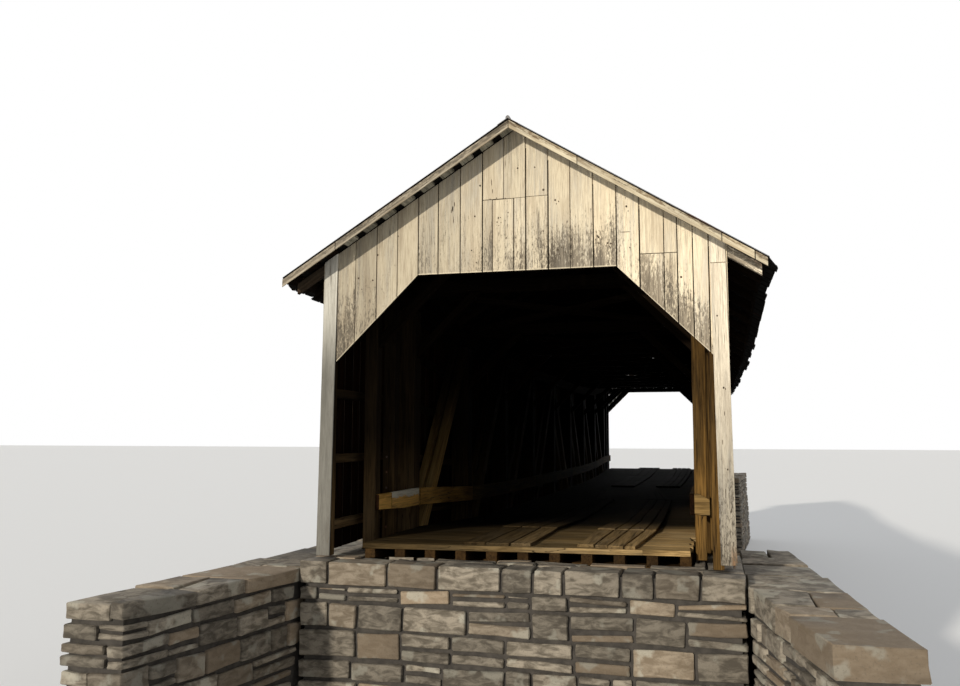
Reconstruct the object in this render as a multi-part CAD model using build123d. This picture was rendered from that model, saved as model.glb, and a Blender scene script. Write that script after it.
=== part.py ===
from build123d import *
import os
from math import cos, hypot, radians, sin

# Timber covered bridge, about 1880s pattern: two multiple kingpost trusses, a plank floor,
# board siding and a batten-and-sheet roof, on dry-laid stone abutments with wing walls.
# Millimetres. X runs across the bridge, Y along it, Z up from the foot of the masonry.
# The origin is the middle of the bridge at the level where the abutments meet the creek bed.

# Overall
bridge_length = 32500
shelter_length = 2750
panel_count = 8
road_level = 3400
siding_half_width = 2725
board_thickness = 25

# How far the old frame has sunk at mid-span
floor_sag = 220
roof_sag = 480
sag_power = 4

# Joint left between two lengths of one run
length_gap = 4

# Truss timbers
truss_width = 360
post_length = 300
chord_slot = 120
bottom_chord_depth = 300
top_chord_depth = 280
tenon_below = 80
chord_past_post = 600
brace_depth = 250
brace_thickness = 120
brace_gap = 60
brace_inset = 20

# Floor
deck_top = 150
plank_thickness = 75
deck_end_left = 340
deck_end_right = 640
deck_side_gap = 10
joist_width = 150
joist_depth = 150
joist_count = 11
joist_edge_gap = 120
joist_end_inset = 20
floor_beam_width = 200
floor_beam_depth = 250
beam_offsets = (700, 1500, 2290, 3085)
beam_before_truss = 290
sleeper_offsets = (950, 1370, 1790)
track_thickness = 50
left_track_edges = ((-840, 100), (-800, 105), (-880, -70))
right_track_edges = ((700, 1487), (720, 1635), (620, 1440))
track_end_gap = 20

# Guard rails
rail_thickness = 60
rail_depth = 280
left_rail_bottom = 500
right_rail_bottom = 590
rail_end_gap = 850
rail_block_thickness = 50

# End shelter framing
portal_post_size = 200
portal_post_at = 870
second_post_at = 1650
left_stud_width = 50
right_stud_width = 143
stud_depth = 125
header_thickness = 120
header_depth = 200

# Overhead framing
tie_depth = 200
tie_width = 220
knee_depth = 130
knee_width = 130
lateral_depth = 100
lateral_width = 120
lateral_seat = 60

# Roof
roof_slope = 0.6238
roof_over_chord = 124
batten_thickness = 25
batten_width = 190
batten_count = 12
rafter_depth = 131
rafter_width = 75
rafter_overhang = 415
rafters_per_panel = 4
shelter_rafters = 3
rake_overhang = 330
rake_past_siding = 465
rake_depth = 95
rake_thickness = 25
sheet_thickness = 8
sheet_past_siding = 610
sheet_rake_lip = 40
ridge_wing = 140
ridge_wing_thickness = 6
ridge_roll_radius = 28
ridge_lip = 15

# Siding
girt_thickness = 100
girt_height = 130
girt_bottoms = (330, 1240, 2150, 3060)
siding_foot_shelter = 30
siding_foot_span = -450
corner_board_width = 195
corner_board_lean = 22
opening_top = 3800
chamfer_width = 1186
chamfer_height = 1175
gable_lap = 20
left_corner_foot = 10
right_corner_foot = 70

# Masonry
abutment_back = 350
face_past_post = 700
abutment_side_gap = 125
face_batter = 280
seat_length = 1500
backwall_gap = 20
backwall_top = 0
shoulder_gap = 40
bed_timber_depth = 250
bed_timber_width = 250
bed_timber_spacing = 450
bed_timber_past_truss = 120
wing_top = -100
wing_end = 3200
wing_thickness = 770
wing_flare = 550
wing_batter = 120

# Values that follow from the dimensions above
half = bridge_length / 2
panel = (bridge_length - 2 * shelter_length) / panel_count
posts_y = [-half + shelter_length + k * panel for k in range(panel_count + 1)]
siding_inner_x = siding_half_width - board_thickness
truss_outer_x = siding_inner_x - girt_thickness
truss_inner_x = truss_outer_x - truss_width
stick_width = (truss_width - chord_slot) / 2
joist_bottom = deck_top - plank_thickness - joist_depth
chord_top = joist_bottom - floor_beam_depth
chord_bottom = chord_top - bottom_chord_depth
seat_level = chord_bottom - bed_timber_depth
top_chord_top = opening_top + header_depth
top_chord_bottom = top_chord_top - top_chord_depth
roof_top = top_chord_top + roof_over_chord + roof_slope * truss_outer_x
slope_stretch = hypot(1, roof_slope)
batten_drop = batten_thickness * slope_stretch
rafter_drop = rafter_depth * slope_stretch
sheet_drop = sheet_thickness * slope_stretch
opening_half_width = siding_half_width - corner_board_width
opening_top_half_width = opening_half_width - chamfer_width
chamfer_bottom = opening_top - chamfer_height
chamfer_rise = chamfer_height / chamfer_width
abutment_half_width = siding_half_width + abutment_side_gap
shoulder_inner_x = truss_inner_x - shoulder_gap
abutment_face = shelter_length + face_past_post
ledge_end = abutment_face - seat_length
shelter_tie_at = portal_post_at + portal_post_size / 2


def sag_share(y):
    """Share of the full sag at a point along the bridge, straight from post to post."""
    def at_post(k):
        return 1 - abs(1 - 2 * k / panel_count) ** sag_power

    along = min(max((y - posts_y[0]) / panel, 0), panel_count)
    k = min(int(along), panel_count - 1)
    return at_post(k) + (at_post(k + 1) - at_post(k)) * (along - k)


def level(z, y, sag):
    """Height above the origin of a level given from the road, at a point along the bridge."""
    return road_level + z - sag * sag_share(y)


def stations(y0, y1):
    """The ends of a lengthwise piece and the posts between them, where the sag line bends."""
    return [y0] + [y for y in posts_y if y0 < y < y1] + [y1]


def lengths(y0, y1, cuts=None):
    """The lengths of a run that is jointed at the posts, or at the given places."""
    cuts = stations(y0, y1)[1:-1] if cuts is None else cuts
    starts = [y0] + [y + length_gap / 2 for y in cuts]
    ends = [y - length_gap / 2 for y in cuts] + [y1]
    return list(zip(starts, ends))


def prism(points, direction):
    """Solid swept straight from a flat outline."""
    outline = Wire.make_polygon([Vector(*p) for p in points], close=True)
    return Solid.extrude(Face(outline), Vector(*direction))


def box(x0, x1, y0, y1, z0, z1):
    return prism([(x0, y0, z0), (x1, y0, z0), (x1, y1, z0), (x0, y1, z0)], (0, 0, z1 - z0))


def stringer(x0, x1, z0, z1, y0, y1, sag, slope=0.0, foot_sag=None):
    """Lengthwise member that follows the sag; with a slope it falls away sideways from x0."""
    foot_sag = sag if foot_sag is None else foot_sag
    ys = stations(y0, y1)
    top = [(x0, y, level(z1, y, sag)) for y in ys]
    bottom = [(x0, y, level(z0, y, foot_sag)) for y in reversed(ys)]
    return prism(top + bottom, (x1 - x0, 0, -slope * abs(x1 - x0)))


def crosswise(section, y0, y1, sag):
    """Member across the bridge: an outline in X and Z swept along the sag line."""
    pieces = []
    ys = stations(y0, y1)
    for a, b in zip(ys, ys[1:]):
        points = [(x, a, level(z, a, sag)) for x, z in section]
        pieces.append(prism(points, (0, b - a, sag * (sag_share(a) - sag_share(b)))))
    return pieces[0].fuse(*pieces[1:]).clean() if len(pieces) > 1 else pieces[0]


def common(a, b):
    return (a & b).solids()[0]


def within(piece, corners):
    """Part of a piece that lies inside an outline in plan."""
    bounds = piece.bounding_box()
    outline = [(x, y, bounds.min.Z - 1) for x, y in corners]
    return common(piece, prism(outline, (0, 0, bounds.max.Z - bounds.min.Z + 2)))


def both_ends(offsets):
    """Places at the same distances from either portal face."""
    return [-half + d for d in offsets] + [half - d for d in offsets]


def roof_line(x, below=0.0):
    """Height above the road of the top of the battens, or so far below it, before sag."""
    return roof_top - roof_slope * abs(x) - below


def mirrored(shapes, across):
    plane = Plane.YZ if across == "x" else Plane.XZ
    return [s.mirror(plane) for s in shapes]


def save(name, shapes):
    solids = [s for shape in shapes for s in shape.solids()]
    export_step(Compound(children=solids) if len(solids) > 1 else solids[0], f"parts/{name}.step")


def save_sides(name, right_shapes):
    save(f"right_{name}", right_shapes)
    save(f"left_{name}", mirrored(right_shapes, "x"))


def deck_end_at(x):
    """Distance from the portal face to the skew end of the floor."""
    return deck_end_left + (deck_end_right - deck_end_left) * (x / truss_inner_x + 1) / 2


def abutment():
    """Stepped stone mass: a backwall, a ledge under the shelter floor and the truss seat."""
    y = -half
    backwall_front = y + deck_end_left - backwall_gap
    profile = [
        (y - abutment_back, 0),
        (y + abutment_face + face_batter, 0),
        (y + abutment_face, road_level + seat_level),
        (y + ledge_end, road_level + seat_level),
        (y + ledge_end, road_level + chord_top),
        (backwall_front, road_level + chord_top),
        (backwall_front, road_level + backwall_top),
        (y - abutment_back, road_level + backwall_top),
    ]
    points = [(-abutment_half_width, b, c) for b, c in profile]
    mass = prism(points, (2 * abutment_half_width, 0, 0))
    foot, top = road_level + chord_top, road_level + backwall_top
    shoulder = box(shoulder_inner_x, abutment_half_width, y - abutment_back, y + ledge_end, foot, top)
    x = shoulder_inner_x
    skew_front = [(-x, y, foot), (x, y, foot), (x, y + deck_end_at(x) - backwall_gap, foot),
                  (-x, backwall_front, foot)]
    wedge = prism(skew_front, (0, 0, top - foot))
    return mass.fuse(shoulder, shoulder.mirror(Plane.YZ), wedge).clean()


def wing_wall():
    """Right wing wall at the near end: straight beside the abutment, then flaring outwards."""
    y_face, y_end = -half + abutment_face, -half - wing_end
    bend = -half - abutment_back
    inner = abutment_half_width

    def plan(z, batter, lean):
        face_flare = wing_flare * lean / (y_face - y_end)
        points = [
            (inner, y_face + lean, z),
            (inner + wing_thickness + batter - face_flare, y_face + lean, z),
            (inner + wing_thickness + wing_flare + batter, y_end, z),
            (inner + wing_flare, y_end, z),
            (inner, bend, z),
        ]
        return Face(Wire.make_polygon([Vector(*p) for p in points], close=True))

    top = road_level + wing_top
    lean_at_top = face_batter * (road_level + seat_level - top) / (road_level + seat_level)
    base = plan(0, wing_batter, face_batter)
    return Solid.make_loft([base.outer_wire(), plan(top, 0, lean_at_top).outer_wire()], ruled=True)


def bed_timbers():
    """Sleepers on the seat: one under the first truss post, one under the end of the chords."""
    z0, z1 = road_level + seat_level, road_level + chord_bottom
    reach = truss_outer_x + bed_timber_past_truss
    return [box(-reach, reach, y - bed_timber_width, y, z0, z1)
            for y in (posts_y[0] - bed_timber_spacing, posts_y[0])]


def chord(z0, z1, y0, y1, sag):
    """A pair of timbers with a slot between them for the post tenons, in lengths of two panels
    whose joints alternate from post to post."""
    return [stringer(x, x + stick_width, z0, z1, a, b, sag)
            for first, x in ((2, truss_inner_x), (1, truss_outer_x - stick_width))
            for a, b in lengths(y0, y1, posts_y[first:-1:2])]


def truss_post(y):
    """Squared post with tenons through the slots of both chords."""
    y0, y1 = y - post_length / 2, y + post_length / 2
    body = stringer(truss_inner_x, truss_outer_x, chord_top, top_chord_bottom, y0, y1,
                    roof_sag, foot_sag=floor_sag)
    below = 0 if y in (posts_y[0], posts_y[-1]) else tenon_below
    tenon = stringer(truss_inner_x + stick_width, truss_outer_x - stick_width, chord_bottom - below,
                     top_chord_top, y0, y1, roof_sag, foot_sag=floor_sag)
    return body.fuse(tenon).clean()


def end_posts(stud_width):
    """Posts of the shelter over the abutment, and the studs behind the corner boards."""
    foot, top = road_level + backwall_top, road_level + top_chord_bottom
    size = portal_post_size
    near = [box(truss_inner_x, truss_inner_x + size, -half + d, -half + d + size, foot, top)
            for d in (portal_post_at, second_post_at)]
    y0 = -half + board_thickness
    near.append(box(truss_outer_x - stud_width, truss_outer_x, y0, y0 + stud_depth, foot, top))
    return near + mirrored(near, "y")


def braces():
    """Paired planks from the foot of each post to the head of the next one inwards."""
    pieces = []
    for k in range(panel_count // 2):
        y0, y1 = posts_y[k] + post_length / 2, posts_y[k + 1] - post_length / 2
        low0, low1 = (level(chord_top, y, floor_sag) for y in (y0, y1))
        high0, high1 = (level(top_chord_bottom, y, roof_sag) for y in (y0, y1))
        length = hypot(y1 - y0, high1 - low0)
        out_y = brace_depth / 2 * (high1 - low0) / length
        out_z = brace_depth / 2 * (y1 - y0) / length
        reach_y, reach_z = (y1 - y0) / length * brace_depth, (high1 - low0) / length * brace_depth
        for x in (truss_inner_x + brace_inset,
                  truss_inner_x + brace_inset + brace_thickness + brace_gap):
            band = prism([(x, y0 - reach_y + out_y, low0 - reach_z - out_z),
                          (x, y1 + reach_y + out_y, high1 + reach_z - out_z),
                          (x, y1 + reach_y - out_y, high1 + reach_z + out_z),
                          (x, y0 - reach_y - out_y, low0 - reach_z + out_z)], (brace_thickness, 0, 0))
            bay = prism([(x, y0, low0), (x, y1, low1), (x, y1, high1), (x, y0, high0)],
                        (brace_thickness, 0, 0))
            pieces.append(common(band, bay))
    return pieces + mirrored(pieces, "y")


def floor_beams():
    """Beams on the bottom chords between the posts, and sleepers on the abutment ledges."""
    offsets = [shelter_length + k * panel + d for k in range(panel_count // 2) for d in beam_offsets]
    offsets.append(shelter_length - beam_before_truss)
    w = floor_beam_width / 2
    beams = []
    for y in both_ends(offsets):
        section = [(-truss_outer_x, chord_top), (truss_outer_x, chord_top),
                   (truss_outer_x, joist_bottom), (-truss_outer_x, joist_bottom)]
        beams.append(crosswise(section, y - w, y + w, floor_sag))
    for y in both_ends(sleeper_offsets):
        beams.append(box(-shoulder_inner_x, shoulder_inner_x, y - w, y + w,
                         road_level + chord_top, road_level + joist_bottom))
    return beams


def joists():
    """Joists jointed at the posts, with their ends under the skew ends of the floor."""
    edge = truss_inner_x - joist_edge_gap
    centres = [-edge + 2 * edge * i / (joist_count - 1) for i in range(joist_count)]
    w = joist_width / 2
    pieces = []
    for x in centres:
        end = half - deck_end_at(x) - joist_end_inset
        pieces += [stringer(x - w, x + w, joist_bottom, joist_bottom + joist_depth, a, b, floor_sag)
                   for a, b in lengths(-end, end)]
    return pieces


def deck():
    edge, z0 = truss_inner_x - deck_side_gap, deck_top - plank_thickness
    runs = [stringer(-edge, edge, z0, deck_top, a, b, floor_sag) for a, b in lengths(-half, half)]
    corners = [(-edge, -half + deck_end_at(-edge)), (edge, -half + deck_end_at(edge)), (edge, 0), (-edge, 0)]
    near = within(runs[0], corners)
    return [near] + runs[1:-1] + [near.mirror(Plane.XZ)]


def track(edges):
    """Planks for one line of wheels: the run widens from its ends to the first truss posts."""
    at_end, at_truss, inside = edges
    bends = (-half + deck_end_at(at_end[1]) + track_end_gap, posts_y[0], posts_y[3])
    rows = list(zip(bends, edges))

    def plan(y):
        for (y0, low), (y1, high) in zip(rows, rows[1:]):
            if y <= y1:
                share = (y - y0) / (y1 - y0)
                return [a + (b - a) * share for a, b in zip(low, high)]
        return inside

    pieces = []
    for a, b in lengths(bends[0], 0):
        (xa0, xa1), (xb0, xb1) = plan(a), plan(b)
        run = stringer(min(xa0, xb0), max(xa1, xb1), deck_top, deck_top + track_thickness, a, b, floor_sag)
        pieces.append(within(run, [(xa0, a), (xa1, a), (xb1, b), (xb0, b)]))
    return pieces


def wheel_tracks():
    near = track(left_track_edges) + track(right_track_edges)
    return near + mirrored(near, "y")


def guard_rail(bottom, blocks):
    """Plank along the inner faces of the posts; blocks carry it across the end posts."""
    end = half - rail_end_gap
    x1, top = truss_inner_x, bottom + rail_depth
    rails = [stringer(x1 - rail_thickness, x1, bottom, top, a, b, floor_sag) for a, b in lengths(-end, end)]
    if not blocks:
        return rails
    y0 = -half + portal_post_at - rail_block_thickness
    block = box(x1, x1 + portal_post_size, y0, y0 + rail_block_thickness, road_level + bottom, road_level + top)
    return rails + [block, block.mirror(Plane.XZ)]


def tie_beams():
    """Beams over the top chords at the posts, and headers behind the two gables."""
    edge = truss_outer_x
    top = top_chord_top + tie_depth
    under_battens = roof_line(edge, batten_drop)
    knuckle = (roof_line(0, batten_drop) - top) / roof_slope
    section = [(-edge, top_chord_top), (edge, top_chord_top), (edge, under_battens), (knuckle, top),
               (-knuckle, top), (-edge, under_battens)]
    w = tie_width / 2
    ties = [crosswise(section, y - w, y + w, roof_sag) for y in posts_y + both_ends([shelter_tie_at])]
    y0 = -half + board_thickness
    header = box(-truss_inner_x, truss_inner_x, y0, y0 + header_thickness,
                 road_level + opening_top, road_level + top_chord_top)
    return ties + [header, header.mirror(Plane.XZ)]


def chamfer_line(x):
    """Height of the slanted edge of the portal opening, carried on inwards."""
    return chamfer_bottom + (opening_half_width - x) * chamfer_rise


def knee(x_outer, top, y0, y1, lift):
    """Slanted brace between a post face and the beam above it, in line with the portal edge."""
    deep = knee_depth * hypot(1, chamfer_rise)
    low = chamfer_line(x_outer) + lift
    x_low = x_outer - (top - low) / chamfer_rise
    x_high = x_outer - (top - low - deep) / chamfer_rise
    section = [(x_outer, low), (x_outer, low + deep), (x_high, top), (x_low, top)]
    return crosswise(section, y0, y1, roof_sag)


def knee_braces(stud_width):
    w = knee_width / 2
    places = posts_y + both_ends([shelter_tie_at])
    pieces = [knee(truss_inner_x, top_chord_top, y - w, y + w, 0) for y in places]
    y0 = -half + board_thickness
    portal = knee(truss_outer_x - stud_width, opening_top, y0, y0 + header_thickness, gable_lap)
    return pieces + [portal, portal.mirror(Plane.XZ)]


def lateral_bracing():
    """Crossed diagonals between the tie beams, lying on the top chords: one of each pair whole,
    the other in two lengths that butt against it."""
    edge = truss_inner_x + lateral_seat
    bars = []
    for y_low, y_high in zip(posts_y, posts_y[1:]):
        y0, y1 = y_low + tie_width / 2, y_high - tie_width / 2
        bay = stringer(-edge, edge, top_chord_top, top_chord_top + lateral_depth, y0, y1, roof_sag)
        bounds = bay.bounding_box()
        whole, crossing = (diagonal(side * edge, y0, y1, bounds).intersect(bay)[0] for side in (-1, 1))
        bars.append(whole)
        bars += crossing.cut(whole).solids()
    return bars


def diagonal(x_start, y0, y1, bounds):
    """Upright wall of the width of a diagonal, from one corner of a bay to the opposite one."""
    length = hypot(2 * x_start, y1 - y0)
    ux, uy = -2 * x_start / length, (y1 - y0) / length
    w, reach = lateral_width / 2, lateral_width
    z0, z1 = bounds.min.Z - lateral_depth, bounds.max.Z + lateral_depth
    xa, ya = x_start - ux * reach, y0 - uy * reach
    xb, yb = -x_start + ux * reach, y1 + uy * reach
    outline = [(xa + uy * w, ya - ux * w, z0), (xb + uy * w, yb - ux * w, z0),
               (xb - uy * w, yb + ux * w, z0), (xa - uy * w, ya + ux * w, z0)]
    return prism(outline, (0, 0, z1 - z0))


def rafter_places():
    """Near faces of the rafters: one behind each gable, the rest at one spacing."""
    spacing = panel / rafters_per_panel
    count = panel_count * rafters_per_panel
    inner = [posts_y[0] + (i + 0.5) * spacing - rafter_width / 2
             for i in range(-shelter_rafters, count + shelter_rafters)]
    return [-half + board_thickness] + inner + [half - board_thickness - rafter_width]


def rafters():
    """Rafters with a seat cut over the top chord, a plumb tail and a plumb cut at the ridge."""
    seat_x = (roof_line(0, batten_drop + rafter_drop) - top_chord_top) / roof_slope
    tail = siding_half_width + rafter_overhang
    section = [
        (0, roof_line(0, batten_drop)),
        (tail, roof_line(tail, batten_drop)),
        (tail, roof_line(tail, batten_drop + rafter_drop)),
        (truss_outer_x, roof_line(truss_outer_x, batten_drop + rafter_drop)),
        (truss_outer_x, top_chord_top),
        (seat_x, top_chord_top),
        (0, roof_line(0, batten_drop + rafter_drop)),
    ]
    return [crosswise(section, y, y + rafter_width, roof_sag) for y in rafter_places()]


def roof_strip(x0, x1, raised, thickness, y0, y1):
    """Part of the right roof slope: its top is so far above the battens' top."""
    drop = thickness * slope_stretch
    top = roof_line(x0) + raised
    return stringer(x0, x1, top - drop, top, y0, y1, roof_sag, slope=roof_slope)


def battens():
    end = half + rake_overhang
    width = batten_width / slope_stretch
    pitch = (siding_half_width + rake_past_siding - width) / (batten_count - 1)
    return [roof_strip(i * pitch, i * pitch + width, 0, batten_thickness, -end, end)
            for i in range(batten_count)]


def metal_roof():
    end = half + rake_overhang + sheet_rake_lip
    return [roof_strip(0, siding_half_width + sheet_past_siding, sheet_drop, sheet_thickness, a, b)
            for a, b in lengths(-end, end)]


def ridge_cap():
    """Folded cap over the ridge with a round roll along its middle."""
    end = half + rake_overhang + sheet_rake_lip + ridge_lip
    raised = sheet_drop + ridge_wing_thickness * slope_stretch
    radius, centre = ridge_roll_radius, roof_top + raised
    arc = [(radius * cos(radians(a)), centre + radius * sin(radians(a))) for a in range(0, 181, 30)]
    on_wing = roof_line(radius) + raised
    section = [(radius, on_wing)] + arc + [(-radius, on_wing), (0, centre)]
    caps = []
    for a, b in lengths(-end, end):
        right = roof_strip(0, ridge_wing, raised, ridge_wing_thickness, a, b)
        roll = crosswise(section, a, b, roof_sag)
        caps.append(right.fuse(right.mirror(Plane.YZ), roll).clean())
    return caps


def gable_siding():
    """Boarded gable with the road opening cut up into it, corners slanted."""
    edge = siding_half_width
    right = [
        (0, roof_line(0, batten_drop)),
        (edge, roof_line(edge, batten_drop)),
        (edge, chamfer_bottom - gable_lap),
        (opening_half_width, chamfer_bottom - gable_lap),
        (opening_half_width, chamfer_bottom),
        (opening_top_half_width, opening_top),
    ]
    section = right + [(-x, z) for x, z in reversed(right[1:])]
    return [crosswise(section, -half, -half + board_thickness, roof_sag)]


def corner_board(foot):
    """Board over the near right corner; it leans in a little towards the eaves."""
    x0, x1, lean = opening_half_width, siding_half_width, corner_board_lean
    section = [(x0 + lean, foot), (x1 + lean, foot), (x1 - lean, roof_line(x1 - lean, batten_drop)),
               (x0 - lean, roof_line(x0 - lean, batten_drop))]
    return [crosswise(section, -half - board_thickness, -half, roof_sag)]


def rake_board():
    """Board along the edge of the near right roof slope, over the ends of the battens."""
    y = -half - rake_overhang
    drop = rake_depth * slope_stretch
    tip = siding_half_width + rake_past_siding
    section = [(0, roof_line(0)), (tip, roof_line(tip)), (tip, roof_line(tip, drop)),
               (0, roof_line(0, drop))]
    return [crosswise(section, y - rake_thickness, y, roof_sag)]


def side_siding():
    """Vertical boarding from under the rafters to below the bottom chord, higher over the ends."""
    top = roof_line(siding_half_width, batten_drop + rafter_drop)
    ys = stations(-half + board_thickness, half - board_thickness)
    step = half - ledge_end
    feet = [ys[0], -step] + [y for y in ys if -step < y < step] + [step, ys[-1]]
    span_feet = feet[1:-1]
    outline = [(siding_inner_x, y, level(top, y, roof_sag)) for y in ys]
    outline += [(siding_inner_x, y, level(siding_foot_shelter, y, floor_sag)) for y in (ys[-1], step)]
    outline += [(siding_inner_x, y, level(siding_foot_span, y, floor_sag)) for y in reversed(span_feet)]
    outline += [(siding_inner_x, y, level(siding_foot_shelter, y, floor_sag)) for y in (-step, ys[0])]
    return [prism(outline, (board_thickness, 0, 0))]


def girts():
    """Nailers between the posts and the siding; each row sags by its height between the chords."""
    end = half - board_thickness
    rows = []
    for z in girt_bottoms:
        sag = floor_sag + (roof_sag - floor_sag) * z / top_chord_top
        rows += [stringer(truss_outer_x, siding_inner_x, z, z + girt_height, a, b, sag)
                 for a, b in lengths(-end, end)]
    return rows


def main():
    os.makedirs("parts", exist_ok=True)
    near_wing = [wing_wall()]
    for end in ("near", "far"):
        place = (lambda shapes: shapes) if end == "near" else (lambda shapes: mirrored(shapes, "y"))
        save(f"{end}_abutment", place([abutment()]))
        save(f"{end}_right_wing_wall", place(near_wing))
        save(f"{end}_left_wing_wall", place(mirrored(near_wing, "x")))
        save(f"{end}_bed_timbers", place(bed_timbers()))
        save(f"{end}_gable_siding", place(gable_siding()))
        save(f"{end}_right_corner_board", place(corner_board(right_corner_foot)))
        save(f"{end}_left_corner_board", place(mirrored(corner_board(left_corner_foot), "x")))
        save(f"{end}_right_rake_board", place(rake_board()))
        save(f"{end}_left_rake_board", place(mirrored(rake_board(), "x")))
    chord_end = half - shelter_length + chord_past_post
    plate_end = half - board_thickness
    save_sides("bottom_chord", chord(chord_bottom, chord_top, -chord_end, chord_end, floor_sag))
    save_sides("top_chord", chord(top_chord_top - top_chord_depth, top_chord_top,
                                  -plate_end, plate_end, roof_sag))
    truss_posts = [truss_post(y) for y in posts_y]
    save("right_posts", truss_posts + end_posts(right_stud_width))
    save("left_posts", mirrored(truss_posts + end_posts(left_stud_width), "x"))
    save_sides("braces", braces())
    save("floor_beams", floor_beams())
    save("floor_joists", joists())
    save("deck_planks", deck())
    save("wheel_tracks", wheel_tracks())
    save("right_guard_rail", guard_rail(right_rail_bottom, True))
    save("left_guard_rail", mirrored(guard_rail(left_rail_bottom, False), "x"))
    save("tie_beams", tie_beams())
    save("right_knee_braces", knee_braces(right_stud_width))
    save("left_knee_braces", mirrored(knee_braces(left_stud_width), "x"))
    save("lateral_bracing", lateral_bracing())
    save_sides("rafters", rafters())
    save_sides("roof_battens", battens())
    save_sides("metal_roof", metal_roof())
    save("ridge_cap", ridge_cap())
    save_sides("siding", side_siding())
    save_sides("siding_girts", girts())


main()
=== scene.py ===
import math
import random
from itertools import pairwise
from types import SimpleNamespace

import bmesh
import bpy
import numpy as np
from mathutils import Matrix, Vector, noise


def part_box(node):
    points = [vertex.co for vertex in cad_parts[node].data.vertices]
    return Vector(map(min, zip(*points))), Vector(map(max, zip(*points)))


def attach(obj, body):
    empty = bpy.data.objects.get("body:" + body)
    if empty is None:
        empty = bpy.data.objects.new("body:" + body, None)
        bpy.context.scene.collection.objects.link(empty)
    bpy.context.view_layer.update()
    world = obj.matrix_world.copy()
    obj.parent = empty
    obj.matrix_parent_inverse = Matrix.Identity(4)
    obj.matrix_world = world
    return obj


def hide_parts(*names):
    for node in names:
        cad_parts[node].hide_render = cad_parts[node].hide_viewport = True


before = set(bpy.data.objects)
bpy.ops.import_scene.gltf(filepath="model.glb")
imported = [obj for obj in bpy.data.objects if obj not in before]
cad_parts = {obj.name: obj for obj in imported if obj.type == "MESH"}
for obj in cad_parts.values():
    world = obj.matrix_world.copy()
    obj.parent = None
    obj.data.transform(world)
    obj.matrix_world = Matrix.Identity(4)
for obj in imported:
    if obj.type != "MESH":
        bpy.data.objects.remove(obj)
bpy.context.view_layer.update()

acrossAxis, alongAxis, upAxis = Vector((1, 0, 0)), Vector((0, 1, 0)), Vector((0, 0, 1))
sideways = {"left": -acrossAxis, "right": acrossAxis}  # outwards on each side

# where the bridge stands in the frame, read from its pieces
gableLow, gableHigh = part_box("near_gable_siding")
portalFace = gableLow.y  # outer face of the near boarding
halfWidth = gableHigh.x  # outer face of the side boarding


# cutting and ageing the frame's solids

tolerance = {
    "point": 1e-5, "row": 1e-6,  # metres within which points are one
    "flat": 0.1,  # degrees between faces that are one
    "sharp": 0.35,  # radians at an edge that wears round
    "steep": 0.7, "endOn": 0.8,  # cosines: a timber that runs across, and a face that is a timber's end
}


def solidsOf(nodeName):
    source = bmesh.new()
    source.from_mesh(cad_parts[nodeName].data)
    bmesh.ops.remove_doubles(source, verts=source.verts[:], dist=tolerance["point"])
    flat = math.radians(tolerance["flat"])
    bmesh.ops.dissolve_limit(source, angle_limit=flat, verts=source.verts[:], edges=source.edges[:])
    seen, solids = set(), []
    for start in source.faces:
        if start in seen:
            continue
        seen.add(start)
        group, queue = [], [start]
        while queue:
            face = queue.pop()
            group.append(face)
            for other in {f for e in face.edges for f in e.link_faces}:
                if other not in seen:
                    seen.add(other)
                    queue.append(other)
        solid, twin = bmesh.new(), {}
        for face in group:
            for vert in face.verts:
                if vert not in twin:
                    twin[vert] = solid.verts.new(vert.co)
            solid.faces.new([twin[vert] for vert in face.verts])
        bmesh.ops.recalc_face_normals(solid, faces=solid.faces[:])
        solids.append(solid)
    source.free()
    return solids


def crossPlane(solid, point, normal, reach, **options):
    geometry = solid.verts[:] + solid.edges[:] + solid.faces[:]
    bmesh.ops.bisect_plane(solid, geom=geometry, dist=reach, plane_co=point, plane_no=normal, **options)


def addRows(solid, axis, places):  # rows of points at which a surface can bend or wear
    for place in places:
        crossPlane(solid, axis * place, axis, tolerance["row"])


def cutOff(solid, point, normal):  # takes away what lies beyond a plane and closes the cut
    if not solid.verts:
        return
    crossPlane(solid, point, normal, tolerance["point"], clear_outer=True)
    rim = [e for e in solid.edges if e.is_boundary]
    if rim:
        bmesh.ops.holes_fill(solid, edges=rim, sides=0)


def cutAlong(solid, line, axis, sign=1):  # cuts along a line that is drawn square to an axis
    start, end = (Vector((u, 0, v)) if axis is alongAxis else Vector((0, u, v)) for u, v in line)
    cutOff(solid, start, (end - start).cross(axis).normalized() * sign)


def between(solid, axis, low, high):  # copy of a solid between two places on an axis
    part = solid.copy()
    if low is not None:
        cutOff(part, axis * low, -axis)
    if high is not None:
        cutOff(part, axis * high, axis)
    return part


def move(solid, vector):
    bmesh.ops.translate(solid, verts=solid.verts[:], vec=vector)


def roundEdges(solid, edges, width):
    bmesh.ops.bevel(solid, geom=edges, offset=width, offset_type="OFFSET", segments=1, profile=0.5,
                    affect="EDGES", clamp_overlap=True)


def span(solid, axis):
    reach = [v.co.dot(axis) for v in solid.verts]
    return min(reach), max(reach)


def cutPlaces(low, high, shortest, longest, rng):  # random lengths that fill a stretch
    places = [low]
    while high - places[-1] > longest + shortest:
        places.append(places[-1] + rng.uniform(shortest, longest))
    if high - places[-1] > longest:
        places.append((places[-1] + high) / 2)
    return places + [high]


def lengthways(solid, through):  # long direction of a slanting timber, square to one given axis
    points = np.array([v.co for v in solid.verts])
    points = points - points.mean(0)
    points -= np.outer(points @ np.array(through), np.array(through))
    return Vector(np.linalg.svd(points, full_matrices=False)[2][0])


def randomVector(rng, reach):
    return Vector([rng.uniform(0, reach) for _ in range(3)])


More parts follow.
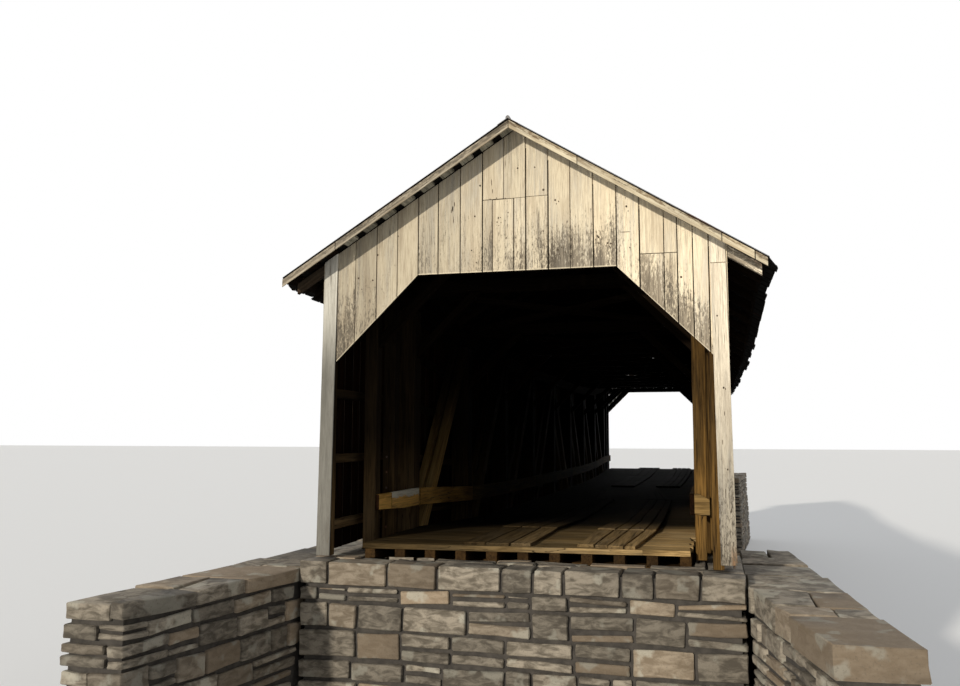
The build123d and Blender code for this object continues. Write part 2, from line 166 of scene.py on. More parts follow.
def age(solid, wear, along, rng):  # rounds the edges, then wears the surface inwards only
    solid.normal_update()
    sharp = [e for e in solid.edges if len(e.link_faces) == 2 and e.calc_face_angle(0) > tolerance["sharp"]]
    roundEdges(solid, sharp, wear["edge"])
    low, high = span(solid, along)
    steps = max(1, round((high - low) / wear["step"]))
    uneven = (i + rng.uniform(-0.3, 0.3) for i in range(1, steps))
    addRows(solid, along, (low + (high - low) * place / steps for place in uneven))
    solid.normal_update()
    shift = randomVector(rng, 90)
    for vert in solid.verts:
        rough = 0.5 + 0.5 * noise.noise(vert.co * wear["wave"] + shift)
        vert.co -= vert.normal * wear["depth"] * rough


def newHeap():
    return {"points": [], "faces": [], "grain": [], "place": [], "worn": [], "endGrain": [], "material": []}


# adds a solid to a joined mesh, with its grain, its place on the board and above the foot, and a chance tone
def collect(heap, solid, along, rng, material=0, foot=None, worn=0.0):
    if not solid.faces:
        solid.free()
        return
    across = acrossAxis if abs(along.x) < tolerance["steep"] else upAxis
    through = along.cross(across).normalized()
    across = through.cross(along).normalized()
    points = np.array([v.co for v in solid.verts])
    local = points @ np.array([across, through, along]).T
    middle = (local.min(0) + local.max(0)) / 2
    half = np.maximum((local.max(0) - local.min(0)) / 2, 1e-4)
    if half[0] < half[1]:  # the wide side runs across
        local, middle, half = local[:, [1, 0, 2]], middle[[1, 0, 2]], half[[1, 0, 2]]
    shift = np.array([rng.uniform(0, 60) for _ in range(3)])
    height = points[:, 2] - (points[:, 2].min() if foot is None else foot(points))
    tone = np.full(len(points), rng.random())
    first = len(heap["points"])
    heap["points"].extend(points.tolist())
    heap["grain"].extend((local - middle + shift).tolist())
    heap["place"].extend(np.column_stack([(local[:, 0] - middle[0]) / half[0], height, tone]).tolist())
    heap["worn"].extend([worn] * len(points))
    solid.verts.index_update()
    for face in solid.faces:
        heap["faces"].append([first + v.index for v in face.verts])
        heap["endGrain"].append(float(abs(face.normal.dot(along)) > tolerance["endOn"]))
        heap["material"].append(material(face) if callable(material) else material)
    solid.free()


def addObject(name, data):
    made = bpy.data.objects.new(name, data)
    bpy.context.scene.collection.objects.link(made)
    return made


def makePiece(name, heap, materials, nodes=(), smooth=None):
    mesh = bpy.data.meshes.new(name)
    mesh.from_pydata(heap["points"], [], heap["faces"])
    for key in ("grain", "place"):
        layer = mesh.attributes.new(key, "FLOAT_VECTOR", "POINT")
        layer.data.foreach_set("vector", np.array(heap[key], np.float32).ravel())
    mesh.attributes.new("worn", "FLOAT", "POINT").data.foreach_set("value", heap["worn"])
    mesh.attributes.new("endGrain", "FLOAT", "FACE").data.foreach_set("value", heap["endGrain"])
    for material in materials:
        mesh.materials.append(material)
    mesh.polygons.foreach_set("material_index", heap["material"])
    if smooth is not None:
        mesh.shade_smooth()
        mesh.set_sharp_from_angle(angle=math.radians(smooth))
    piece = addObject(name, mesh)
    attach(piece, "root")
    if nodes:
        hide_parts(*nodes)
    print(f"  {name}: {sum(len(f) - 2 for f in heap['faces'])} triangles")


# building materials out of nodes

class Signal:  # what a node puts out, so that sums and products of nodes can be written as such
    def __init__(self, socket):
        self.socket, self.tree = socket, socket.id_data

    def maths(self, operation, other=0.0, clamp=False):
        return addNode(self.tree, "ShaderNodeMath", {0: self, 1: other}, operation=operation, use_clamp=clamp)

    def __add__(self, other):
        return self.maths("ADD", other)

    def __sub__(self, other):
        return self.maths("SUBTRACT", other)

    def __mul__(self, other):
        return self.maths("MULTIPLY", other)

    def __abs__(self):
        return self.maths("ABSOLUTE")


def addNode(tree, kind, sockets=None, output=0, **settings):
    made = tree.nodes.new(kind)
    for key, value in settings.items():
        setattr(made, key, value)
    for key, value in (sockets or {}).items():
        if isinstance(value, Signal):
            tree.links.new(value.socket, made.inputs[key])
        else:
            made.inputs[key].default_value = value
    return Signal(made.outputs[output])


def attribute(tree, name, output="Vector"):
    return addNode(tree, "ShaderNodeAttribute", output=output, attribute_name=name)


def xyz(vector):
    node = addNode(vector.tree, "ShaderNodeSeparateXYZ", {"Vector": vector}).socket.node
    return [Signal(socket) for socket in node.outputs]


def worldPlace(tree):
    return addNode(tree, "ShaderNodeTexCoord", output="Object")


def drawOut(vector, share):  # makes a pattern longer along the grain
    return addNode(vector.tree, "ShaderNodeVectorMath", {0: vector, 1: (1, 1, share)}, operation="MULTIPLY")


def cloud(vector, share, scale, detail, roughness=0.55, distortion=0.0):
    sockets = {"Vector": drawOut(vector, share), "Scale": scale, "Detail": detail, "Roughness": roughness,
               "Distortion": distortion}
    return addNode(vector.tree, "ShaderNodeTexNoise", sockets, "Fac")


def fade(value, start, end, low=0.0, high=1.0):
    sockets = {"Value": value, "From Min": start, "From Max": end, "To Min": low, "To Max": high}
    return addNode(value.tree, "ShaderNodeMapRange", sockets, "Result", interpolation_type="SMOOTHSTEP")


def mix(first, second, share, mode="MIX"):  # goes from the first colour to the second as the share grows
    tree = next(value.tree for value in (first, second, share) if isinstance(value, Signal))
    first, second = ((*c, 1) if isinstance(c, tuple) else c for c in (first, second))
    return addNode(tree, "ShaderNodeMix", {0: share, 6: first, 7: second}, 2, data_type="RGBA",
                   blend_type=mode)


def shaded(colour, tone):
    grey = addNode(tone.tree, "ShaderNodeCombineXYZ", {"X": tone, "Y": tone, "Z": tone})
    return mix(colour, grey, 1.0, "MULTIPLY")


def newMaterial(name, roughness, shine=0.5):
    material = bpy.data.materials.new(name)
    material.use_nodes = True
    tree = material.node_tree
    shader = tree.nodes["Principled BSDF"]
    shader.inputs["Roughness"].default_value = roughness
    shader.inputs["Specular IOR Level"].default_value = shine
    return material, tree, shader


def setSurface(shader, colour, height=None, depth=0.0):
    colour.tree.links.new(colour.socket, shader.inputs["Base Color"])
    if height:
        bump = addNode(colour.tree, "ShaderNodeBump", {"Height": height, "Distance": depth, "Strength": 1.0})
        colour.tree.links.new(bump.socket, shader.inputs["Normal"])


def woodParts(tree, look):  # colour and relief of bare old wood that follows each board's own grain
    grain, place = attribute(tree, "grain"), xyz(attribute(tree, "place"))
    across, _, chance = place
    fibre = cloud(grain, 0.035, look.fibre, 6, 0.7)
    band = cloud(grain, 0.07, look.band, 3, 0.5, 0.8)
    stain = cloud(grain, 0.4, look.stain, 4, 0.6)
    mixed = fibre * 0.55 + band * 0.45
    colour = mix(look.dark, look.light, fade(mixed, 0.36, 0.64))
    colour = mix(colour, look.grey, fade(stain, 0.42, 0.68, 0, look.greying))
    crack = abs(cloud(grain, 0.018, look.fibre * 0.4, 2, 0.4) - 0.5)
    crack = fade(crack, 0.004, 0.014, 1, 0) * fade(stain, 0.42, 0.56)
    colour = mix(colour, look.deep, crack * 0.85)
    sockets = {"Vector": drawOut(grain, 0.5), "Scale": look.knots}
    ring = fade(addNode(tree, "ShaderNodeTexVoronoi", sockets, "Distance"), 0.03, 0.085, 1, 0)
    colour = mix(colour, look.deep, ring * 0.8)
    colour = shaded(colour, fade(chance, 0, 1, 1 - look.spread, 1 + look.spread * 0.6))
    colour = mix(colour, look.deep, fade(abs(across), 0.86, 1.0, 0, 0.45))  # the board's edges
    colour = mix(colour, look.deep, attribute(tree, "endGrain", "Fac") * 0.45)
    return grain, place, colour, mixed - crack * 0.8


def woodMaterial(name, look):  # bare wood, with painted light near the sunny portal and painted shade deep inside and high up
    look = SimpleNamespace(**look)
    material, tree, shader = newMaterial(name, look.roughness, look.shine)
    colour, height = woodParts(tree, look)[2:]
    # painted shade deep inside and high up, painted light near the portal and on the sunny side
    if look.bleach < 1:
        x, y, z = xyz(worldPlace(tree))
        tone = fade(y - x * look.slant, *look.bleachReach, 1, look.bleach)
        tone = tone * fade(z, *look.bleachRise, 1, look.bleach)
        tone = tone * fade(x, -1.4, 1.4, look.shadySide, 1) * fade(x, 1.2, 2.0, 1, look.sunnySide)
        colour = shaded(colour, tone)
    setSurface(shader, colour, height, look.relief)
    return material


def paintedMaterial(name, look):  # old paint over the same wood, gone in streaks and most near the foot
    look = SimpleNamespace(**look)
    material, tree, shader = newMaterial(name, look.roughness, 0.25)
    grain, (across, up, chance), wood, height = woodParts(tree, look)
    world = dict(zip("XYZ", xyz(worldPlace(tree))))
    flake = cloud(grain, 0.25, look.flake, 8, 0.75, 0.4)
    patch = cloud(grain, 0.35, look.patch, 3)
    streak = cloud(grain, 0.03, look.streak, 4, 0.6)
    # where the paint is gone
    low = fade(up, 0, look.footReach, 1, 0) * fade(world["X"], *look.wornSide) * look.footLoss
    worn = attribute(tree, "worn", "Fac") * fade(up, 0.1, 1.15, 1, 0)
    low = low + worn * look.wornLoss
    gone = flake + (patch - 0.5) * look.patchiness + (streak - 0.5) * look.streakiness
    gone = gone + fade(across, *look.paintedEdge, 0) + low
    gone = fade(gone, look.loss, look.loss + look.softness)
    # the paint that is left: dirt, streaks, hair cracks, long cracks, soot, edges and rust
    dirt = fade(cloud(grain, 0.12, look.dirtScale, 5, 0.65), 0.4, 0.7)
    hue = fade(cloud(grain, 0.2, 2.6, 2), 0.42, 0.58)
    dirtColour = mix(look.dirt, look.coolDirt, hue)
    paint = mix(look.paint, dirtColour, dirt * look.dirtiness)
    streaky = fade(streak, 0.46, 0.66, 0, look.streakDirt)
    paint = mix(paint, dirtColour, streaky.maths("ADD", worn * look.wornDirt, clamp=True))
    hair = cloud(grain, 0.05, look.flake * 1.6, 5, 0.75)
    paint = mix(paint, look.dirt, fade(hair, 0.44, 0.64, 0, 0.7))
    paint = mix(paint, look.fresh, fade(hair, 0.40, 0.28, 0, 0.5))
    line = abs(cloud(grain, 0.02, look.streak * 0.5, 3, 0.5, 0.3) - 0.5)
    line = fade(line, 0.003, 0.012, 1, 0) * fade(patch, 0.5, 0.62, 0, 0.6)
    paint = mix(paint, look.deep, line)
    soot = fade(patch, 0.46, 0.62) * fade(up, 0, look.sootReach, look.soot, 0)
    soot = soot.maths("MULTIPLY", fade(flake, 0.36, 0.54, 0.25, 1.25), clamp=True)
    paint = mix(paint, look.grey, soot)
    paint = mix(paint, look.dirt, fade(abs(across), 0.93, 1.0, 0, 0.35))
    # painted highlight along one edge of a board
    paint = mix(paint, look.fresh, fade(across, 0.80, 0.88, 0, look.litEdge))
    rust = fade(across, 0.25, 0.6) * fade(up, 0.05, 0.3, 1, 0) * fade(flake, 0.3, 0.5, 0.3, 1)
    paint = mix(paint, look.rust, rust * look.rustyFoot)
    # painted shade along one axis on the gable, rakes and near left corner board; on the other trim only
    # darker towards the bottom
    axis, *slope = look.slope
    tone = fade(chance, 0, 1, 1 - look.spread, 1.04) * fade(world[axis], *slope)
    colour = shaded(mix(paint, wood, gone), tone)
    # painted highlight along the lowest edge of each board over the opening
    colour = mix(colour, look.paint, fade(up, 0.008, 0.02, look.cleanFoot, 0))
    setSurface(shader, colour, height * 0.5 - gone * 0.35 - line * 0.5, look.relief)
    return material


oldTimber = {
    "dark": (0.026, 0.013, 0.004), "light": (0.098, 0.053, 0.017), "grey": (0.068, 0.042, 0.020),
    "deep": (0.008, 0.004, 0.002), "fibre": 60, "band": 11, "stain": 2.0, "greying": 0.5, "knots": 1.3,
    "spread": 0.3, "roughness": 0.86, "relief": 0.004, "shine": 0.08,
    # painted shade inside and high up and painted light near the portal: how much of the colour is left
    # inside and high up, and how it goes down, along and across the bridge
    "bleach": 1, "bleachReach": (-14.5, -8), "bleachRise": (3.9, 6.2), "slant": 0, "shadySide": 1,
    "sunnySide": 1,
}
# left posts and the girts: a copy in painted shade, darkening fast upwards; right posts: a copy in painted
# sunlight
shadedPostLook = dict(oldTimber, dark=(0.046, 0.027, 0.011), light=(0.20, 0.122, 0.050), grey=(0.165, 0.115, 0.062),
                bleach=0.135, bleachRise=(3.6, 5.2))
litPostLook = dict(oldTimber, dark=(0.020, 0.010, 0.003), light=(0.200, 0.108, 0.028),
                   grey=(0.115, 0.072, 0.027), bleach=0.42)
tailLook = dict(oldTimber, dark=(0.020, 0.013, 0.008), light=(0.058, 0.040, 0.024),
                grey=(0.055, 0.043, 0.030))
# near-black painted shade for the timbers overhead
shadedOverheadLook = dict(oldTimber, dark=(0.003, 0.002, 0.001), light=(0.011, 0.007, 0.004),
                    grey=(0.009, 0.006, 0.004), deep=(0.001, 0.001, 0.0005), shine=0.01)
battenLook = dict(oldTimber, dark=(0.14, 0.135, 0.105), light=(0.38, 0.36, 0.29), grey=(0.30, 0.29, 0.24))
# braces: brightened wood, painted light near the portal
braceLook = dict(oldTimber, dark=(0.38, 0.22, 0.062), light=(0.86, 0.56, 0.20), grey=(0.58, 0.39, 0.17),
                 greying=0.3, bleach=0.06)
# floor and tracks: a painted pool of sunlight near the portal, brightest on the right, and painted shade
# further in and on the left
floorLook = dict(oldTimber, dark=(0.12, 0.076, 0.030), light=(0.39, 0.262, 0.115), grey=(0.27, 0.205, 0.115),
                 greying=0.6, bleach=0.03, bleachReach=(-15.0, -11.2), slant=0.35, shadySide=0.2,
                 sunnySide=2.4, shine=0.02)
trackLook = dict(floorLook, dark=(0.12, 0.078, 0.034), light=(0.38, 0.255, 0.115), grey=(0.27, 0.20, 0.115),
                 sunnySide=1.6)
# left rail: brightened wood, painted light near the portal
railLook = dict(oldTimber, dark=(0.30, 0.155, 0.036), light=(0.80, 0.46, 0.12), grey=(0.52, 0.32, 0.11),
                greying=0.3, bleach=0.08)
blockLook = dict(oldTimber, dark=(0.085, 0.052, 0.018), light=(0.27, 0.17, 0.062), grey=(0.20, 0.14, 0.065),
                 greying=0.7)
sidingLook = dict(oldTimber, dark=(0.075, 0.05, 0.035), light=(0.21, 0.155, 0.11), grey=(0.23, 0.21, 0.185),
                  greying=0.85)
# near-black painted shade for the siding's inner faces and the rails' near ends
shadedInsideLook = dict(oldTimber, dark=(0.004, 0.002, 0.001), light=(0.022, 0.009, 0.004),
                  grey=(0.016, 0.009, 0.005), deep=(0.001, 0.001, 0.001), spread=0.6, shine=0.01)
gablePaint = dict(
    oldTimber, dark=(0.075, 0.060, 0.042), light=(0.30, 0.25, 0.18), grey=(0.24, 0.21, 0.165),
    deep=(0.045, 0.034, 0.023), spread=0.12, relief=0.003, paint=(0.72, 0.625, 0.45),
    dirt=(0.44, 0.355, 0.245), coolDirt=(0.40, 0.37, 0.315), fresh=(0.84, 0.78, 0.64),
    rust=(0.40, 0.19, 0.07), flake=62, patch=1.7, patchiness=0.5, streak=34, streakiness=0.36, footReach=1.05,
    footLoss=0.20, loss=0.62, softness=0.15, dirtScale=7, dirtiness=0.6, streakDirt=0.55,
    wornSide=(-1.2, 0.9, 0.35, 1.0), paintedEdge=(-3, -2, 0), soot=0.2, sootReach=0.75, cleanFoot=0.7,
    litEdge=0, rustyFoot=0, wornLoss=0.16,
    wornDirt=0.25, slope=("X", -2.5, 2.2, 0.62, 1.16),  # painted shade: axis it lightens along, from, to and both shades
)
trimPaint = dict(
    gablePaint, paint=(0.72, 0.635, 0.49), dirt=(0.34, 0.285, 0.21), coolDirt=(0.32, 0.30, 0.26), loss=0.66,
    footReach=2.7, footLoss=0.26, dirtiness=0.5, streakDirt=0.6, spread=0.05,
    # darker towards the bottom
    slope=("Z", 3.5, 7.5, 0.55, 1.42), wornSide=(-9, -8, 0, 1), soot=0.4, sootReach=2.6, cleanFoot=0,
    rustyFoot=0.85,
)
# the near left corner board: the trim paint in painted shade
shadedTrimPaint = dict(
    trimPaint, paint=(0.31, 0.295, 0.255), dirt=(0.19, 0.18, 0.15), coolDirt=(0.18, 0.17, 0.145),
    # painted shade, darker towards the bottom
    fresh=(0.40, 0.38, 0.33), footLoss=0.1, soot=0.1, slope=("Z", 5.8, 6.9, 0.62, 1.8), rustyFoot=0,
    # painted highlight on the inner edge
    litEdge=0.8,
)
rakePaint = dict(
    gablePaint, paint=(0.56, 0.49, 0.37), dirt=(0.27, 0.205, 0.13), coolDirt=(0.30, 0.26, 0.20), loss=0.40,
    # painted shade, darker to the left
    flake=36, dirtiness=0.8, patch=3.0, footLoss=0.0, slope=("X", -2.5, 1.8, 0.7, 1.0),
    paintedEdge=(-0.75, -0.35, -0.4), soot=0, cleanFoot=0,
)
wornRakePaint = dict(rakePaint, paint=(0.68, 0.60, 0.43), dark=(0.13, 0.085, 0.045), light=(0.40, 0.31, 0.19),
                     dirt=(0.33, 0.25, 0.15), loss=0.45, paintedEdge=(-0.3, 0.05, -0.4))
railPaint = {**gablePaint, **railLook, **dict(
    paint=(0.84, 0.80, 0.66), dirt=(0.52, 0.46, 0.34), coolDirt=(0.5, 0.47, 0.38), fresh=(0.9, 0.88, 0.78),
    flake=22, patch=3.0, patchiness=0.35, streak=14, streakiness=0.3, footReach=0.22, footLoss=1.2, loss=0.60,
    softness=0.05, dirtiness=0.5, streakDirt=0.4, wornSide=(-9, -8, 0, 1), soot=0, slope=("X", -9, -8, 0, 1),
    cleanFoot=0, wornLoss=0, wornDirt=0,
)}

gableMaterial = paintedMaterial("weatheredWhitePaint", gablePaint)
trimMaterial = paintedMaterial("whiteTrimPaint", trimPaint)
rakeMaterial = paintedMaterial("greyedRakePaint", rakePaint)
wornRakeMaterial = paintedMaterial("wornRakePaint", wornRakePaint)
shadedTrimMaterial = paintedMaterial("paintedShadeTrimPaint", shadedTrimPaint)
railPaintMaterial = paintedMaterial("rubbedRailPaint", railPaint)
timberMaterial = woodMaterial("oldFrameTimber", oldTimber)
shadedPostMaterial = woodMaterial("paintedShadePostTimber", shadedPostLook)
litPostMaterial = woodMaterial("sunlitPostTimber", litPostLook)
blockMaterial = woodMaterial("paleBlockWood", blockLook)
tailMaterial = woodMaterial("greyRafterTail", tailLook)
battenMaterial = woodMaterial("greyBattenEnds", battenLook)
shadedOverheadMaterial = woodMaterial("paintedShadeRoofTimber", shadedOverheadLook)
braceMaterial = woodMaterial("sawnBraceWood", braceLook)
floorMaterial = woodMaterial("trampledFloorWoodPaintedSunPool", floorLook)
trackMaterial = woodMaterial("wheelTrackWoodPaintedSunPool", trackLook)
railMaterial = woodMaterial("railWood", railLook)
sidingMaterial = woodMaterial("weatheredSiding", sidingLook)
shadedInsideMaterial = woodMaterial("paintedShadeSidingInside", shadedInsideLook)
print("wood materials made")


def stoneMaterial(name, look):
    look = SimpleNamespace(**look)
    material, tree, shader = newMaterial(name, look.roughness)
    grain, chance = attribute(tree, "grain"), xyz(attribute(tree, "place"))[2]
    speckle = cloud(grain, 1, 45, 6, 0.7)
    bed = cloud(grain, 2.5, 5, 5, 0.6, 0.6)
    blotch = cloud(grain, 1, 3.2, 3, 0.5)
    colour = mix(look.dark, look.light, fade(bed, 0.35, 0.65))
    colour = mix(colour, look.warm, fade(chance, 0.55, 1.0, 0, 0.7))
    colour = mix(colour, look.lichen, fade(blotch, 0.56, 0.64, 0, 0.65))
    colour = mix(colour, look.dark, fade(speckle, 0.52, 0.7, 0, 0.5))
    colour = shaded(colour, fade((chance * 7.3).maths("FRACT"), 0, 1, 0.62, 1.2))
    setSurface(shader, colour, bed * 0.7 + speckle * 0.3, look.relief)
    return material


def earthMaterial(name, look):
    look = SimpleNamespace(**look)
    material, tree, shader = newMaterial(name, look.roughness)
    rough = cloud(worldPlace(tree), 1, 9, 6, 0.65)
    setSurface(shader, mix(look.dark, look.light, fade(rough, 0.3, 0.7)))
    return material


def sheetMaterial(name, look):  # painted sheet gone dull, with rust that runs down the slope
    look = SimpleNamespace(**look)
    material, tree, shader = newMaterial(name, look.roughness, look.shine)
    grain, chance = attribute(tree, "grain"), xyz(attribute(tree, "place"))[2]
    run = cloud(grain, 0.12, 7, 5, 0.65, 0.2)
    patch = cloud(grain, 1, 1.4, 4, 0.6)
    fine = cloud(grain, 1, 60, 4, 0.7)
    rust = fade(run * 0.6 + patch * 0.5, look.rustStart, look.rustStart + 0.12)
    rustColour = mix(look.rust, look.oldRust, fade(fine, 0.35, 0.65))
    paint = mix(look.paint, look.faded, fade(patch, 0.35, 0.7, 0, 0.7))
    paint = shaded(paint, fade(chance, 0, 1, 0.82, 1.12))
    dull = fade(rust, 0, 1, look.roughness, 0.9)
    tree.links.new(dull.socket, shader.inputs["Roughness"])
    setSurface(shader, mix(paint, rustColour, rust), rust + fine * 0.3, look.relief)
    return material


stoneLook = {
    "dark": (0.085, 0.070, 0.050), "light": (0.25, 0.215, 0.165), "warm": (0.24, 0.175, 0.11),
    "lichen": (0.33, 0.31, 0.25), "roughness": 0.9, "relief": 0.012,
}
jointLook = {"dark": (0.03, 0.026, 0.0215), "light": (0.06, 0.052, 0.043), "roughness": 0.95}
roofLook = {
    "paint": (0.085, 0.08, 0.078), "faded": (0.17, 0.16, 0.15), "rust": (0.15, 0.06, 0.028),
    "oldRust": (0.07, 0.032, 0.02), "rustStart": 0.6, "roughness": 0.55, "shine": 0.5, "relief": 0.0015,
}
# near-black painted shade for the sheets' undersides
shadedUndersideLook = dict(roofLook, paint=(0.005, 0.005, 0.004), faded=(0.009, 0.008, 0.007),
                     rust=(0.01, 0.005, 0.003), roughness=0.9, shine=0.05)
ironLook = dict(roofLook, rustStart=0.42, paint=(0.05, 0.045, 0.042), roughness=0.7)

stone = stoneMaterial("fieldstone", stoneLook)
jointMaterial = earthMaterial("deepJoint", jointLook)
sheetMetal = sheetMaterial("oldRoofSheet", roofLook)
shadedSheetUnderside = sheetMaterial("paintedShadeSheetUnderside", shadedUndersideLook)
ironMaterial = sheetMaterial("rustyIron", ironLook)
print("stone and metal materials made")


# gables, corner boards and rake boards

gable = {
    "wear": {"edge": 0.003, "step": 0.12, "depth": 0.0035, "wave": 9.0},
    "leftSeams": ((-2.52, 4), (-2.25, 5), (-1.94, 7), (-1.64, 6), (-1.34, 10), (-1.056, 10), (-0.745, 8),
                  (-0.436, 13)),
    "upperSeams": ((-0.436, 13), (-0.143, 4), (0.158, 13), (0.459, 14)),
    "lowerSeams": ((-0.436, 13), (-0.294, 4), (-0.005, 9), (0.158, 13), (0.459, 14)),
    "rightSeams": ((0.459, 14), (0.752, 5), (1.054, 13), (1.351, 12), (1.644, 13), (1.95, 8), (2.115, 10),
                   (2.305, 9), (2.498, 12)),
    "middleJoint": (8.184, 0.016),  # height of the butt joint in the middle boards, and its rise across
    "rightJoint": (1.6, 2.2, 7.34),  # stretch of boards that are pieced, and the height of the joint
    "splitOff": (0.045, 7.07),  # width of the strip, and the height it reaches
    "worn": ((-2.4, 0.5), (-2.1, 0.4), (-1.8, 0.15), (-0.6, 0.2), (-0.3, 0.3), (0.1, 0.2), (0.6, 1.0),
             (0.9, 0.7),
             (1.2, 0.35), (2.0, 0.1), (2.2, 0.25), (2.4, 0.4)),  # across, and how worn
    "jointGap": 0.006, "raggedJoint": 0.004,
    "unevenness": 0.004,  # how far a board lies back from its neighbours
    "edgeReach": 0.01,  # how far past the boarding the outermost seams lie
}
lumps = {"sunken": 0.0005, "height": 0.006, "knotShare": 0.6, "sides": 10}  # knots and scars that stand out
knots = (  # across, height and radius of the dark knots and old bolt holes in the near gable
    (0.05, 8.59, 0.018), (0.283, 8.586, 0.016), (-0.468, 8.388, 0.02), (-0.542, 7.968, 0.018),
    (0.399, 8.271, 0.025), (-0.584, 7.503, 0.014), (-0.108, 7.647, 0.014), (-0.081, 7.991, 0.013),
    (-0.516, 7.332, 0.016), (0.392, 7.714, 0.014), (-1.929, 7.507, 0.021), (-2.205, 7.192, 0.022),
    (-1.996, 7.154, 0.02), (-2.153, 7.036, 0.013), (-1.63, 7.755, 0.013), (1.485, 7.976, 0.02),
    (1.522, 7.433, 0.014), (1.121, 7.589, 0.022), (1.278, 7.499, 0.02), (2.156, 7.022, 0.022),
)
chamferTop, chamferLow = Vector((1.344, 0, 7.2)), Vector((2.53, 0, 6.025))  # corners of the slanted opening


def openingEdge(points):  # height of the opening's edge under each point of a gable
    across = np.abs(points[:, 0])
    share = np.clip((across - chamferTop.x) / (chamferLow.x - chamferTop.x), 0, 1)
    return chamferTop.z + share * (chamferLow.z - chamferTop.z)


def gableBoards(heap, solid, inwards, mirror, rng):
    def board(x0, x1, z0, z1, rise=0.0):
        worn = max([share for at, share in gable["worn"] if x0 < at < x1], default=0.0)
        if mirror:
            x0, x1, rise = -x1, -x0, -rise
        part = between(solid, acrossAxis, x0, x1)
        for height, sign in ((z0, -1), (z1, 1)):
            if height is not None:
                cutOff(part, Vector((0, 0, height)), Vector((-rise, 0, 1)) * sign)
        if not part.faces:
            return
        move(part, inwards * rng.uniform(0, gable["unevenness"]))
        age(part, gable["wear"], upAxis, rng)
        collect(heap, part, upAxis, rng, foot=openingEdge, worn=worn)

    def row(seams, z0, z1, rise=0.0):
        for (x0, gap0), (x1, gap1) in pairwise(seams):  # across, and the gap in millimetres
            low, high = x0 + gap0 / 2000, x1 - gap1 / 2000
            start, end, joint = gable["rightJoint"]
            if z0 is None and z1 is None and start < x0 and x1 < end:
                board(low, high, None, joint)
                board(low, high, joint + gable["jointGap"], None)
            elif x1 == gable["leftSeams"][0][0]:  # the board behind the corner board has a strip split off
                width, top = gable["splitOff"]
                board(low, high - width, None, top)
                board(low, high, top, None)
            else:
                ragged = rng.uniform(-gable["raggedJoint"], gable["raggedJoint"])
                board(low, high, z0 and z0 + ragged, z1 and z1 + ragged, rise)

    edge = halfWidth + gable["edgeReach"]
    joint, rise = gable["middleJoint"]
    row(((-edge, 0),) + gable["leftSeams"], None, None)
    row(gable["upperSeams"], joint + gable["jointGap"], None, rise)
    row(gable["lowerSeams"], None, joint, rise)
    row(gable["rightSeams"] + ((edge, 0),), None, None)


scars = (  # the same for torn knots and streaks of bare wood, with how much taller than wide they are
    (-0.852, 8.089, 0.009, 4.0), (-0.826, 8.15, 0.005, 6.0), (-0.871, 8.06, 0.005, 5.0),
    (-0.84, 7.93, 0.004, 9.0), (-0.215, 7.925, 0.008, 1.7), (-0.186, 7.93, 0.006, 1.0),
    (-0.232, 7.87, 0.006, 1.8), (-0.178, 7.86, 0.005, 1.6), (-0.21, 7.82, 0.006, 0.9),
    (-0.235, 7.83, 0.004, 1.2), (0.555, 8.122, 0.010, 1.4), (0.60, 8.10, 0.007, 1.2),
    (0.57, 8.07, 0.005, 1.8), (-0.31, 8.42, 0.003, 14.0), (-0.296, 8.30, 0.003, 9.0),
    (-0.33, 8.19, 0.007, 1.0), (-0.24, 8.20, 0.006, 1.2), (-0.12, 8.19, 0.007, 0.8),
    (1.467, 7.64, 0.072, 0.05), (1.11, 7.607, 0.010, 1.3), (1.085, 7.56, 0.007, 1.6),
    (1.14, 7.57, 0.006, 1.2), (1.115, 7.514, 0.008, 1.0), (1.238, 7.508, 0.010, 1.2),
    (1.215, 7.47, 0.006, 1.5), (1.26, 7.46, 0.007, 1.0), (1.482, 7.982, 0.008, 1.2),
    (1.507, 7.914, 0.006, 1.5), (0.59, 7.449, 0.008, 1.6), (0.64, 7.48, 0.007, 1.2),
    (0.683, 7.417, 0.008, 1.5), (0.61, 7.39, 0.006, 1.4),
)
cornerScars = (  # on the near right corner board
    (2.583, 6.512, 0.010, 1.0), (2.638, 5.615, 0.012, 1.0), (2.66, 5.60, 0.005, 3.0),
    (2.64, 5.30, 0.004, 6.0), (2.61, 4.95, 0.004, 8.0), (2.66, 4.62, 0.009, 1.2), (2.63, 4.35, 0.004, 9.0),
    (2.69, 4.12, 0.005, 5.0),
)


def discs(heap, places, y, thickness, rng):  # small round lumps standing on a face across the bridge
    sides = lumps["sides"]
    for x, z, radius, *taller in places:
        tall = radius * (taller[0] if taller else 1.0)
        solid = bmesh.new()
        turn = rng.uniform(0, 6)
        for depth in (0, thickness):
            for angle in (turn + 2 * math.pi * i / sides for i in range(sides)):
                out = radius * rng.uniform(0.8, 1.1) * math.cos(angle)
                solid.verts.new((x + out, y + depth, z + tall * rng.uniform(0.9, 1.25) * math.sin(angle)))
            solid.faces.new(solid.verts[-sides:])
        verts = solid.verts[:]
        for i in range(sides):
            j = (i + 1) % sides
            solid.faces.new((verts[i], verts[j], verts[sides + j], verts[sides + i]))
        bmesh.ops.recalc_face_normals(solid, faces=solid.faces[:])
        collect(heap, solid, alongAxis, rng)


for end, inwards in (("near", alongAxis), ("far", -alongAxis)):
    rng = random.Random(11 if end == "near" else 12)
    heap = newHeap()
    for solid in solidsOf(f"{end}_gable_siding"):
        gableBoards(heap, solid, inwards, end == "far", rng)
    makePiece(f"{end}GableBoards", heap, [gableMaterial], [f"{end}_gable_siding"])

